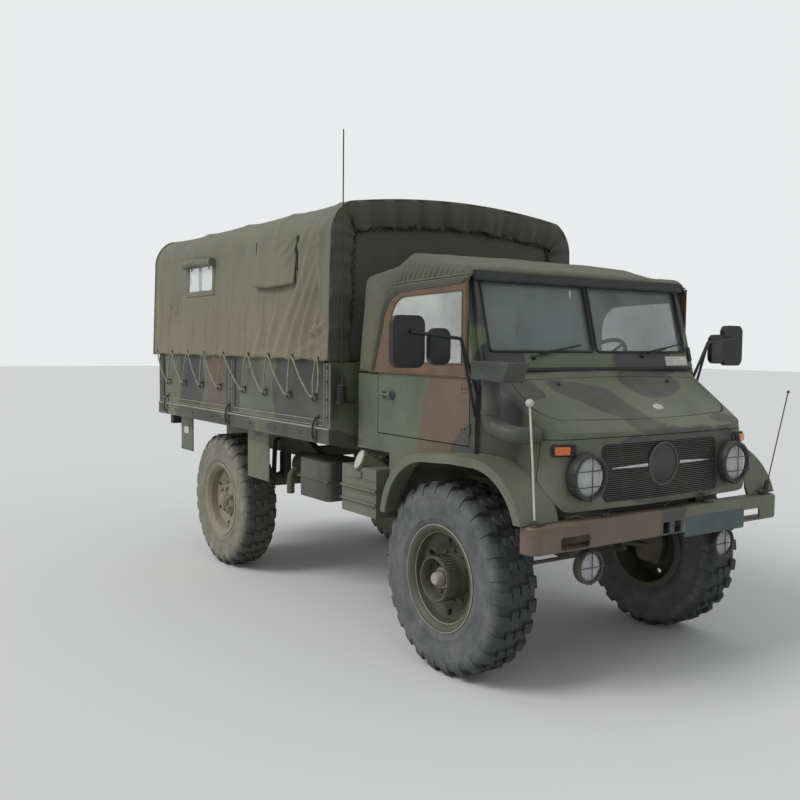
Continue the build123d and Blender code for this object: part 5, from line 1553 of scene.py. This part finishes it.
def top_relief(x, y, z, above):
    """Slack between the bows, tucks drawn to the door rail (above is the height over it), and small creases."""
    roof = eased(z, 2.08, 2.2)
    behind_bow = 4 * max(0.0, (x - 0.87) * (1.27 - x)) / 0.16
    ahead_bow = 4 * max(0.0, (x - 1.33) * (1.80 - x)) / 0.2209
    rise = -0.010 * roof * (behind_bow + 1.2 * ahead_bow) * (0.6 + 0.4 * math.cos(1.9 * y))
    rise += 0.004 * math.exp(-((x - 1.30) / 0.02) ** 2) * roof
    if abs(y) > 0.7 and above > 0:
        wander = 0.012 * noise.noise((x * 9, 2.0, y))
        tuck = max(0.0, math.sin(2 * math.pi * (x + wander - 0.55 * above) / 0.047)) ** 1.5
        reach = math.exp(-((above - 0.035) / 0.038) ** 2) * eased(x, 0.93, 1.02) * (1 - eased(x, 1.70, 1.80))
        rise += 0.011 * (tuck - 0.35) * reach * (0.7 + 0.6 * noise.noise((x * 6, 5.0, y)))
        rise += 0.016 * math.exp(-((x - 1.77) / 0.022) ** 2) * math.exp(-((above - 0.03) / 0.03) ** 2)
    rise += 0.004 * math.sin(38 * (x + z)) * math.exp(-((x - 0.96) / 0.09) ** 2) * (1 - roof)
    rise += 0.006 * noise.noise((x * 4, y * 3, z * 3)) + 0.0022 * noise.noise((x * 14, y * 12, z * 12))
    return rise


def make_soft_top():
    """The roof and side cloth from the belt behind one door, over the bows, to the other."""
    lengthways, upward, round_steps, crossways = 156, 22, 8, 44
    rows = []
    for row in range(lengthways + 1):
        share = row / lengthways
        roof = along_line(ROOF_LINE, top_place(share, 2.2))
        foot = top_foot(share)
        spring = roof - TOP_CORNER - 0.012
        half = []
        for step in range(upward):
            half.append((TOP_HALF, foot + (spring - foot) * step / upward, 1.0, 0.0))
        for step in range(round_steps):
            turn = math.pi / 2 * step / round_steps
            half.append((TOP_HALF - TOP_CORNER * (1 - math.cos(turn)), spring + TOP_CORNER * math.sin(turn),
                         math.cos(turn), math.sin(turn)))
        inner = TOP_HALF - TOP_CORNER
        for step in range(crossways // 2 + 1):
            y = inner * (1 - 2 * step / crossways)
            half.append((y, spring + TOP_CORNER + 0.012 * (1 - (y / inner) ** 2), 0.0, 1.0))
        line = []
        whole = [(-y, z, -out_y, out_z) for y, z, out_y, out_z in half]
        whole += [(y, z, out_y, out_z) for y, z, out_y, out_z in half[-2::-1]]
        for y, z, out_y, out_z in whole:
            x = top_place(share, z)
            still = 1 - eased(abs(z - foot), 0.0, 0.03) if abs(y) > TOP_HALF - 0.001 else 0.0
            push = top_relief(x, y, z, z - foot) * (1 - still)
            line.append(Vector((x, y + out_y * min(push, 0.011), z + out_z * push)))
        rows.append(line)
    girth = 2 * (2.19 - TOP_FOOT_Z) + 2 * TOP_HALF
    cloth = sheet_piece("soft_top_cloth", rows, top_canvas, spacing=(1.02 / lengthways, girth / (len(rows[0]) - 1)))
    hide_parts("cab_top")
    area = sum((near[place + 1] - near[place]).cross(far[place] - near[place]).length
               for near, far in zip(rows, rows[1:]) for place in range(len(near) - 1))
    return cloth, area, girth


def rear_point(y, z, lift=0.0):
    """A point on the soft top's rear wall."""
    sag = 0.006 * noise.noise((y * 3, z * 3, 9))
    return Vector((TOP_REAR_X + 0.002 + rear_lean(z) - lift + sag, y * (1 - 0.05 * eased(z, 2.09, 2.19)), z))


def rear_patch(name, y0, y1, z0, z1, material, lift=0.0, steps=(20, 12), thickness=0.003, skip=None):
    """A grid of cloth or film on the rear wall."""
    rows = grid_of(lambda across, up: rear_point(y0 + (y1 - y0) * across, z0 + (z1 - z0) * up, lift), *steps)
    return sheet_piece(name, rows, material, thickness=thickness, skip=skip)


# The rear wall, its clear light and the sewn bands round it: y from and to, z from and to
REAR_WALL = (-0.856, 0.856, 1.604, 2.188)
REAR_STEPS = (86, 30)
REAR_LIGHT = (-0.375, 0.375, 1.775, 2.055)
REAR_BANDS = (
    (-0.385, 0.385, 1.765, 1.795), (-0.385, 0.385, 2.035, 2.065),
    (-0.385, -0.355, 1.795, 2.035), (0.355, 0.385, 1.795, 2.035),
)


def in_rear_light(row, column):
    """Whether a step of the rear wall's grid is inside its light."""
    y0, y1, z0, z1 = REAR_WALL
    y = y0 + (y1 - y0) * (row + 0.5) / REAR_STEPS[0]
    z = z0 + (z1 - z0) * (column + 0.5) / REAR_STEPS[1]
    return abs(y) < 0.36 and 1.79 < z < 2.04


def make_rear_wall():
    """The rear wall with its clear light, held by a sewn band."""
    return [
        rear_patch("soft_top_rear", *REAR_WALL, top_canvas, 0.0, REAR_STEPS, skip=in_rear_light),
        rear_patch("soft_top_light", *REAR_LIGHT, vinyl_pane, -0.003, (14, 6), 0.0015),
        *(rear_patch(f"soft_top_band_{number}", *band, top_canvas, 0.004, (20, 8))
          for number, band in enumerate(REAR_BANDS)),
    ]


def make_rail_beads():
    """The doubled bead of the drip rail over each door, and the straps that draw the cloth to it."""
    parts = []
    for side, side_name in SIDES:
        form = bmesh.new()
        line = [Vector((x, side * 0.872, z)) for x, z in DOOR_RAIL]
        strap = [point + Vector((-0.010, side * -0.003, 0.015)) for point in line]
        add_tube(form, smooth_path(line), 0.007, 8)
        add_tube(form, smooth_path(strap), 0.005, 8)
        parts.append(piece_of(form, f"soft_top_bead_{side_name}", top_canvas))
    return parts


soft_top, soft_top_area, soft_top_girth = make_soft_top()
make_rear_wall() + make_rail_beads()

# Side curtains: coated cloth round a clear pane, carried by each door

CURTAIN_EDGE = [(1.838, 1.597), (0.909, 1.597), *arc((1.0, 1.88), (1.08, 2.04), (1.23, 2.104), 14), (1.838, 2.120)]
PANE_EDGE = [(1.791, 1.672), (1.136, 1.672), *arc((1.136, 1.90), (1.172, 1.985), (1.262, 2.036), 12), (1.791, 2.050)]
CURTAIN_MIDDLE = (1.46, 1.86)


def ray_reach(outline, turn):
    """How far from the curtain's middle its outline is in one direction."""
    cx, cz = CURTAIN_MIDDLE
    dx, dz = math.cos(turn), math.sin(turn)
    best = 0.0
    for (x0, z0), (x1, z1) in zip(outline, [*outline[1:], outline[0]]):
        run_x, run_z = x1 - x0, z1 - z0
        cross = dx * run_z - dz * run_x
        if abs(cross) < 1e-9:
            continue
        reach = ((x0 - cx) * run_z - (z0 - cz) * run_x) / cross
        share = ((x0 - cx) * dz - (z0 - cz) * dx) / cross
        if reach > 0 and -1e-6 <= share <= 1 + 1e-6:
            best = max(best, reach)
    return best


# The curtain's beads: how far inside its edge, and half their thickness
CURTAIN_BEADS = ((0.012, 0.0065), (0.026, 0.0060), (0.040, 0.0050))
CURTAIN_Y = 0.871


def curtain_spot(side, direction, reach, offset):
    """A point of a curtain: how far from its middle in one direction, and how far off its plane."""
    cx, cz = CURTAIN_MIDDLE
    return Vector((cx + direction[0] * reach, side * CURTAIN_Y + side * offset, cz + direction[1] * reach))


def curtain_turns():
    """The directions from the curtain's middle in which its outlines are read: corners and even steps."""
    cx, cz = CURTAIN_MIDDLE
    corners = [math.atan2(z - cz, x - cx) for x, z in CURTAIN_EDGE + PANE_EDGE]
    turns = sorted({round(turn, 5) for turn in corners + [-math.pi + math.pi * step / 60 for step in range(120)]})
    return [turn for turn, after in zip(turns, [*turns[1:], 9.0]) if after - turn > 0.004]


def make_curtains():
    """Each door's curtain: a frame of cloth with a stitched welt, and its clear pane."""
    cx, cz = CURTAIN_MIDDLE
    turns = curtain_turns()
    for side, side_name in SIDES:
        body, window = f"door_{side_name}_body", f"side_window_{side_name}"
        rings, pane_front, pane_back, welt, inner_welt = [], [], [], [], []
        for turn in turns:
            outer, inner = ray_reach(CURTAIN_EDGE, turn) - 0.001, ray_reach(PANE_EDGE, turn)
            direction = (math.cos(turn), math.sin(turn))
            middle = (outer + inner) / 2
            wave = 0.0025 * noise.noise((5 * direction[0], 5 * direction[1], side))
            rings.append([curtain_spot(side, direction, reach, offset) for reach, offset in (
                (outer, 0.0), (outer, 0.006), (middle, 0.007 + wave), (inner, 0.008), (inner, 0.0),
                (middle, 0.001 + wave),
            )])
            for line, reach, offset in (
                (pane_front, inner + 0.006, 0.0055), (pane_back, inner + 0.006, 0.0035),
                (welt, outer - 0.010, 0.0065), (inner_welt, inner + 0.008, 0.0085),
            ):
                line.append(curtain_spot(side, direction, reach, offset))
        form = bmesh.new()
        add_rings(form, rings, closed=True)
        cloth = piece_of(form, f"curtain_{side_name}_cloth", curtain_cloth, body, smooth=50)
        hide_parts(window)
        form = bmesh.new()
        add_rings(form, [pane_back, pane_front])
        piece_of(form, f"curtain_{side_name}_pane", vinyl_pane, body)
        form = bmesh.new()
        for inward, thick in CURTAIN_BEADS:
            path = []
            for x, z in CURTAIN_EDGE[1:]:
                share = 1 - (inward + 0.004) / math.hypot(x - cx, z - cz)
                path.append(curtain_spot(side, (x - cx, z - cz), share, 0.0085))
            add_tube(form, smooth_path(path, 3), thick, 7)
        piece_of(form, f"curtain_{side_name}_beads", dark_canvas_and_painted_shade, body, "side_curtain")
        form = bmesh.new()
        add_tube(form, welt, 0.0045, 6, closed=True)
        add_tube(form, inner_welt, 0.0032, 6, closed=True)
        piece_of(form, f"curtain_{side_name}_welt", curtain_cloth, body)


make_curtains()

# Windscreen fittings, door fittings and the cab's outside gear

SCREEN_FOOT = Vector((1.929, 0, 1.650))
SCREEN_RISE = Vector((-0.2531, 0, 0.9674))
SCREEN_OUT = Vector((0.9674, 0, 0.2531))


def screen_point(across, rise, lift=0.0):
    """A point on the windscreen's plane: across it, up it and off it."""
    return SCREEN_FOOT + Vector((0, across, 0)) + SCREEN_RISE * rise + SCREEN_OUT * lift


def add_screen_slab(form, y0, y1, low, high, under, over):
    """A flat slab lying on the windscreen's plane."""
    corners = ((y0, low), (y1, low), (y1, high), (y0, high))
    add_rings(form, [[screen_point(y, rise, lift) for y, rise in corners] for lift in (under, over)])


def make_post_seals():
    """A pressed strip on each windscreen post that closes the corner behind the curtain's front edge."""
    form = bmesh.new()
    corner = [(1.815, 1.598), (1.909, 1.598), (1.829, 1.905), (1.815, 1.905)]
    for side, _ in SIDES:
        add_screen_slab(form, side * 0.800, side * 0.867, -0.045, 0.500, -0.036, -0.028)
        add_rings(form, [[Vector((x, side * y, z)) for x, z in corner] for y in (0.861, 0.867)])
    piece_of(form, "windscreen_post_strips", enamel)


def make_screen_fittings():
    """Rubber seals round both lights, two wipers, a header strip, a blank plate and the cowl's seal."""
    form = bmesh.new()
    for side, _ in SIDES:
        path = []
        for quarter, (at_y, at_rise) in enumerate(((0.758, 0.453), (0.032, 0.453), (0.032, 0.109), (0.758, 0.109))):
            for step in range(6):
                turn = math.pi / 2 * (quarter + step / 5)
                across, rise = at_y + 0.020 * math.cos(turn), at_rise + 0.020 * math.sin(turn)
                path.append(screen_point(side * across, rise, 0.001))
        add_tube(form, path, 0.0075, 8, closed=True)
    piece_of(form, "windscreen_seals", seal_rubber)
    form = bmesh.new()
    for pivot, tip in (((-0.483, 0.055), (-0.117, 0.126)), ((0.385, 0.065), (0.745, 0.139))):
        base, end = Vector((*pivot, 0)), Vector((*tip, 0))
        knee = base.lerp(end, 0.55)
        add_turned(form, [(0.0, -0.002), (0.013, -0.002), (0.013, 0.012), (0.008, 0.018), (0.0, 0.019)],
                   screen_point(*pivot), SCREEN_OUT, 20)
        add_tube(form, [screen_point(base.x, base.y, 0.014), screen_point(knee.x, knee.y, 0.022)], 0.0042, 8)
        start = base.lerp(end, 0.14)
        add_screen_slab(form, start.x, start.x + 0.001, start.y, start.y + 0.001, 0.008, 0.010)
        blade = [screen_point(start.x, start.y + 0.012, 0.012), screen_point(end.x, end.y, 0.012)]
        add_tube(form, blade, 0.0045, 6)
        add_tube(form, [screen_point(knee.x, knee.y, 0.022), screen_point(knee.x, knee.y, 0.012)], 0.005, 8)
    piece_of(form, "wipers", black_abs)
    form = bmesh.new()
    add_screen_slab(form, 0.588, 0.786, 0.006, 0.064, 0.0005, 0.003)
    piece_of(form, "screen_label_blank", pale_paint, soften=0.001)
    block_piece("soft_top_header", [((1.806, -0.836, 2.108), (1.837, 0.836, 2.160))], black_enamel, soften=0.006)
    tube_piece("cowl_seal", [(1.944, -0.79 + 1.58 * step / 20, 1.638) for step in range(21)], 0.0115, 12, seal_rubber)
    form = bmesh.new()
    for side, _ in SIDES:
        add_screen_slab(form, side * 0.800, side * 0.828, 0.035, 0.120, 0.001, 0.012)
        add_screen_slab(form, side * 0.640, side * 0.690, 0.485, 0.520, 0.001, 0.016)
    piece_of(form, "screen_clamps", black_enamel, soften=0.003)


LEVER_PLATE = [(0.0, -0.002), (0.030, -0.002), (0.030, 0.004), (0.024, 0.008), (0.0, 0.009)]
LEVER_KNOB = [(0.0, -0.002), (0.019, -0.002), (0.019, 0.008), (0.0, 0.010)]
HINGES_Z = (1.540, 1.330)


def make_door_fittings():
    """Each door's lever plate and two strap hinges with their barrels on the pillar."""
    for side, side_name in SIDES:
        body = f"door_{side_name}_body"
        face, out = side * 0.865, (0, side, 0)
        over = face + side * 0.005
        form = bmesh.new()
        add_turned(form, LEVER_PLATE, (1.135, face, 1.473), out, 28)
        add_turned(form, LEVER_KNOB, (1.050, face, 1.473), out, 20)
        piece_of(form, f"lever_plate_{side_name}", black_enamel, body)
        form = bmesh.new()
        bolts = []
        for z in HINGES_Z:
            add_block(form, (1.775, face - side * 0.001, z - 0.020), (1.848, over, z + 0.020))
            bolts += [(Vector((x, over, z)), facing(out, x)) for x in (1.790, 1.820)]
        piece_of(form, f"hinge_straps_{side_name}", enamel, body, soften=0.0015)
        scattered(bolt_form(0.012, 0.005), f"hinge_bolts_{side_name}", bolts, enamel, body)
        form = bmesh.new()
        for z in HINGES_Z:
            add_tube(form, [(1.857, side * 0.868, z - 0.030), (1.857, side * 0.868, z + 0.030)], 0.0085, 14)
        piece_of(form, f"hinge_barrels_{side_name}", enamel, body)


# The air intake's mouth from the side, (x, z), and its two collars: half height, outer radius and height
INTAKE_MOUTH = [(2.334, 1.681), (2.298, 1.597)]
INTAKE_COLLARS = ((0.014, 0.050, 1.585), (0.010, 0.048, 1.44))
# Both mirrors' glasses: y from and to, z from and to, and x
MIRROR_GLASSES = ((1.200, 1.367, 1.668, 1.896, 1.8612), (1.053, 1.156, 1.682, 1.836, 1.8792))


def make_outside_gear():
    """The air intake's mouth with a black sheet in it as painted shade, its collars, the antenna's ribbed insulator and
    the mirrors' glasses.
    """
    form = bmesh.new()
    for x, z in INTAKE_MOUTH:
        add_tube(form, [(x, -1.026, z), (x, -0.904, z)], 0.006, 8)
    for y in (-1.026, -0.904):
        add_tube(form, [(x, y, z) for x, z in INTAKE_MOUTH], 0.006, 8)
    for half, radius, z in INTAKE_COLLARS:
        collar = [(0.0435, -half), (radius, -half), (radius, half), (0.0435, half)]
        add_turned(form, collar, (2.122, -0.95, z), UP, 36)
    piece_of(form, "intake_trim", dark_enamel)
    # A black sheet across the intake's mouth: painted shade inside the opening
    form = bmesh.new()
    corners = [Vector((x, -1.018, z)) for x, z in INTAKE_MOUTH]
    corners += [Vector((x, -0.912, z)) for x, z in INTAKE_MOUTH[::-1]]
    lean = Vector((0.918, 0, -0.394))
    add_rings(form, [[corner + lean * lift for corner in corners] for lift in (-0.002, 0.0015)])
    piece_of(form, "intake_mouth", seal_rubber)
    profile = [(0.006, 0.0)]
    for step in range(7):
        base = 0.002 + 0.0145 * step
        profile += [(0.022, base), (0.0335, base + 0.004), (0.0335, base + 0.008), (0.022, base + 0.012)]
    profile += [(0.014, 0.112), (0.006, 0.116)]
    turned_piece("antenna_insulator", profile, (0.735, -0.97, 1.411), UP, 28, seal_rubber)
    form = bmesh.new()
    for side, _ in SIDES:
        for y0, y1, z0, z1, x in MIRROR_GLASSES:
            middle = Vector((x - 0.0006, side * (y0 + y1) / 2, (z0 + z1) / 2))
            add_rounded(form, middle, (y1 - y0) / 2, (z1 - z0) / 2, 0.034, 0.0014, 0.0, 0.0004)
    piece_of(form, "mirror_glasses", silvered, slot="clear_glass")


make_screen_fittings()
make_post_seals()
make_door_fittings()
make_outside_gear()

# Seats: crowned cushions with a piped seam, on plain boxes

SEAT_CUSHIONS = [
    # name, middle, half lengths, lean in degrees about the truck's width
    ("seat", (1.170, 0.520, 1.382), (0.248, 0.218, 0.046), 0.0),
    ("back", (0.898, 0.520, 1.640), (0.040, 0.206, 0.232), -1.5),
]


def make_cushion(name, middle, half, lean):
    """A filled pad: rounded all round, crowned on its broad faces and drawn in at its piping."""
    form = bmesh.new()
    bmesh.ops.create_cube(form, size=2)
    bmesh.ops.subdivide_edges(form, edges=form.edges[:], cuts=15, use_grid_fill=True)
    thin = min(range(3), key=lambda axis: half[axis])
    broad = [axis for axis in range(3) if axis != thin]
    turn = Matrix.Rotation(math.radians(lean), 3, "Y")
    for vertex in form.verts:
        share = vertex.co.copy()
        reach = sum(abs(part) ** 5 for part in share) ** 0.2
        share = share / reach
        fill = (1 - share[broad[0]] ** 2) * (1 - share[broad[1]] ** 2)
        share[thin] *= 0.72 + 0.28 * fill ** 0.5
        share[thin] *= 1 - 0.05 * math.exp(-(share[broad[1]] / 0.05) ** 2)
        vertex.co = Vector(middle) + turn @ Vector([part * size for part, size in zip(share, half)])
    return piece_of(form, name, leathercloth, smooth=60)


for seat_side, seat_side_name in SIDES:
    for seat_part, seat_middle, seat_half, seat_lean in SEAT_CUSHIONS:
        placed = (seat_middle[0], seat_side * seat_middle[1], seat_middle[2])
        pad = make_cushion(f"{seat_part}_cushion_{seat_side_name}", placed, seat_half, seat_lean)
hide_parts("seats")
seat_boxes = []
for seat_y in (RIGHT * 0.52, LEFT * 0.52):
    seat_boxes.append(((0.96, seat_y - 0.15, 1.152), (1.38, seat_y + 0.15, 1.338)))
    seat_boxes.append(((0.853, seat_y - 0.19, 1.40), (0.866, seat_y + 0.19, 1.84)))
block_piece("seat_boxes", seat_boxes, black_enamel, "seat_cover", 0.006)

# Bed fittings: latches, rail lip, mud plate edges, cap and plates


# A latch's claw from the end, (y, z), and the two mud plates: x from and to, z from and to
CLAW = [(1.034, 1.165), (1.052, 1.185), (1.050, 1.245), (1.036, 1.292), (1.022, 1.300)]
MUD_PLATES = ((-0.694, -0.345, 0.770, 1.135), (-2.050, -1.790, 0.840, 1.135))
FUEL_CAP = [
    (0.0, -0.004), (0.058, -0.004), (0.060, 0.003), (0.056, 0.008), (0.030, 0.009), (0.026, 0.013), (0.0, 0.014),
]
TAIL_LENS = [(0.0, -0.002), (0.031, -0.002), (0.031, 0.006), (0.020, 0.012), (0.0, 0.014)]
TAIL_LENS_RIM = [(0.031, -0.002), (0.036, -0.002), (0.036, 0.007), (0.031, 0.007)]


def make_board_fittings():
    """Claw latches on the lower rail, a lip and strips on the boards painted pale as highlights, bolt heads and mud
    plate stiffeners.
    """
    claws = bmesh.new()
    latches, lips, bolts, plates = [], [], [], []
    for side, _ in SIDES:
        out = (0, side, 0)
        for x in (-2.150, -0.840, 0.510):
            latches.append(((x - 0.022, side * 1.029, 1.150), (x + 0.022, side * 1.037, 1.222)))
            latches.append(((x - 0.018, side * 1.019, 1.252), (x + 0.018, side * 1.025, 1.318)))
            add_tube(claws, smooth_path([(x, side * y, z) for y, z in CLAW], 5), 0.0075, 8)
            bolts += [(Vector((x + off, side * 1.037, 1.162)), facing(out, x)) for off in (-0.014, 0.014)]
        lips.append(((-2.349, side * 1.026, 1.2315), (0.679, side * 1.0335, 1.2425)))
        inner, outer = side * 1.0175, side * 1.0225
        for x in (-2.347, -2.293, -0.848, -0.792, 0.600, 0.634, 0.676):
            lips.append(((x - 0.0035, inner, 1.244), (x + 0.0035, outer, 1.648)))
        for x0, x1 in ((-2.282, -0.858), (-0.782, 0.590)):
            lips += [((x0, inner, z - 0.0028), (x1, outer, z + 0.0028)) for z in (1.252, 1.286)]
        for x in (-2.32, -0.82, 0.637):
            bolts += [(Vector((x, side * 1.0195, z)), facing(out, z)) for z in (1.31, 1.42, 1.53, 1.62)]
        bolts += [(Vector((x, side * 1.0295, 1.19)), facing(out, x)) for x in (-1.95, -1.55, -1.15, -0.45, -0.05, 0.30)]
        for x0, x1, z0, z1 in MUD_PLATES:
            for z in (z0 + 0.012, z1 - 0.09):
                plates.append(((x0 + 0.004, side * 0.9345, z - 0.007), (x1 - 0.004, side * 0.939, z + 0.007)))
    block_piece("latch_plates", latches, enamel, soften=0.0015)
    piece_of(claws, "latch_claws", black_enamel)
    # The rail's lip and the boards' edge strips are painted pale as highlights
    block_piece("rail_lips", lips, worn_edge_and_painted_highlight, "camouflage_paint", 0.002)
    scattered(bolt_form(0.014, 0.007), "bed_bolts", bolts, enamel)
    block_piece("mud_plate_ribs", plates, enamel, soften=0.0015)


def make_bed_fittings():
    """The fuel cap, tail lenses, the tailgate's hinges and catches, a blank plate and the step boxes' ribs."""
    cap_axis = Vector((-0.271, -0.880, 0.389)).normalized()
    turned_piece("fuel_cap", FUEL_CAP, (0.896, -0.938, 1.070), cap_axis, 40, pale_paint, slot="camouflage_paint")
    rims = bmesh.new()
    for side, side_name in SIDES:
        for middle, lens in ((0.800, amber_lens), (0.880, red_lens)):
            place = (-2.3545, side * middle, 1.092)
            name = f"tail_lens_{side_name}_{round(middle * 1000)}"
            turned_piece(name, TAIL_LENS, place, BEHIND, 28, lens, slot="signal_red")
            add_turned(rims, TAIL_LENS_RIM, place, BEHIND, 28)
    piece_of(rims, "tail_lens_rims", seal_rubber)
    form = bmesh.new()
    for y in (-0.62, 0.0, 0.62):
        add_block(form, (-2.3555, y - 0.030, 1.250), (-2.3495, y + 0.030, 1.420))
        add_tube(form, [(-2.355, y - 0.034, 1.240), (-2.355, y + 0.034, 1.240)], 0.0095, 12)
    for side, _ in SIDES:
        low, high = sorted((side * 0.900, side * 0.952))
        add_block(form, (-2.3555, low, 1.560), (-2.3495, high, 1.600))
        add_tube(form, [(-2.358, low, 1.580), (-2.358, high, 1.580)], 0.008, 10)
    piece_of(form, "tailgate_fittings", enamel, "tailgate_body", soften=0.0015)
    block_piece("tail_plate_blank", [((-1.965, -0.9415, 0.985), (-1.870, -0.9345, 1.045))], pale_paint, soften=0.001)
    ribs = []
    for side, _ in SIDES:
        ribs += [((0.735, side * 0.949, z - 0.004), (1.077, side * 0.956, z + 0.004)) for z in (0.800, 0.878, 0.955)]
        ribs.append(((0.870, side * 0.949, 0.965), (0.945, side * 0.959, 1.000)))
    block_piece("step_box_ribs", ribs, enamel, soften=0.0015)


make_board_fittings()
make_bed_fittings()

# Rigid pieces that keep their CAD form

DRESSED = [
    # finish, edge softening in metres, nodes
    (enamel, 0.003, ("step_boxes", "cab_body", "bonnet", "windscreen_frame", "door_left", "door_right")),
    (enamel, 0.003, ("bed_frame", "side_boards", "tailgate")), (enamel, 0.002, ("mud_plates", "front_panel")),
    (bumper_enamel, 0.002, ("front_bumper",)), (fender_enamel, 0.002, ("fender_left", "fender_right")),
    (dark_enamel, 0.004, ("fuel_tank", "air_intake")), (dark_enamel, 0.006, ("engine_cover",)),
    (black_enamel, 0.001, ("antenna",)), (black_enamel, 0.003, ("tow_coupling", "suspension")),
    (black_enamel, 0.006, ("tail_lamps",)), (frame_paint, 0.0, ("cover_hoops",)),
    (frame_paint, 0.002, ("chassis_frame",)), (frame_paint, 0.003, ("radiator",)),
    (cast_iron, 0.0, ("exhaust",)), (cast_iron, 0.001, ("tie_rod",)), (cast_iron, 0.004, ("driveline",)),
    (cast_iron, 0.003, ("front_axle", "rear_axle", "knuckle_left", "knuckle_right")), (cast_iron, 0.006, ("engine",)),
    (black_abs, 0.0, ("steering_wheel",)), (black_abs, 0.003, ("mirrors",)), (safety_glass, 0.0, ("windscreen_glass",)),
]
for node_finish, node_soften, node_names in DRESSED:
    for node_name in node_names:
        dressed(node_name, node_finish, node_soften)

# Floor

floor_mesh = bpy.data.meshes.new("floor")
floor_mesh.from_pydata([(-60, -60, 0), (60, -60, 0), (60, 60, 0), (-60, 60, 0)], [], [(0, 1, 2, 3)])
floor = bpy.data.objects.new("floor", floor_mesh)
floor_material, floor_tree, floor_shader, _ = new_material("pale_floor")
give(floor_tree, floor_shader, {"Base Color": linear("#D6D7D5"), "Roughness": 0.9})
floor_mesh.materials.append(floor_material)
bpy.context.collection.objects.link(floor)
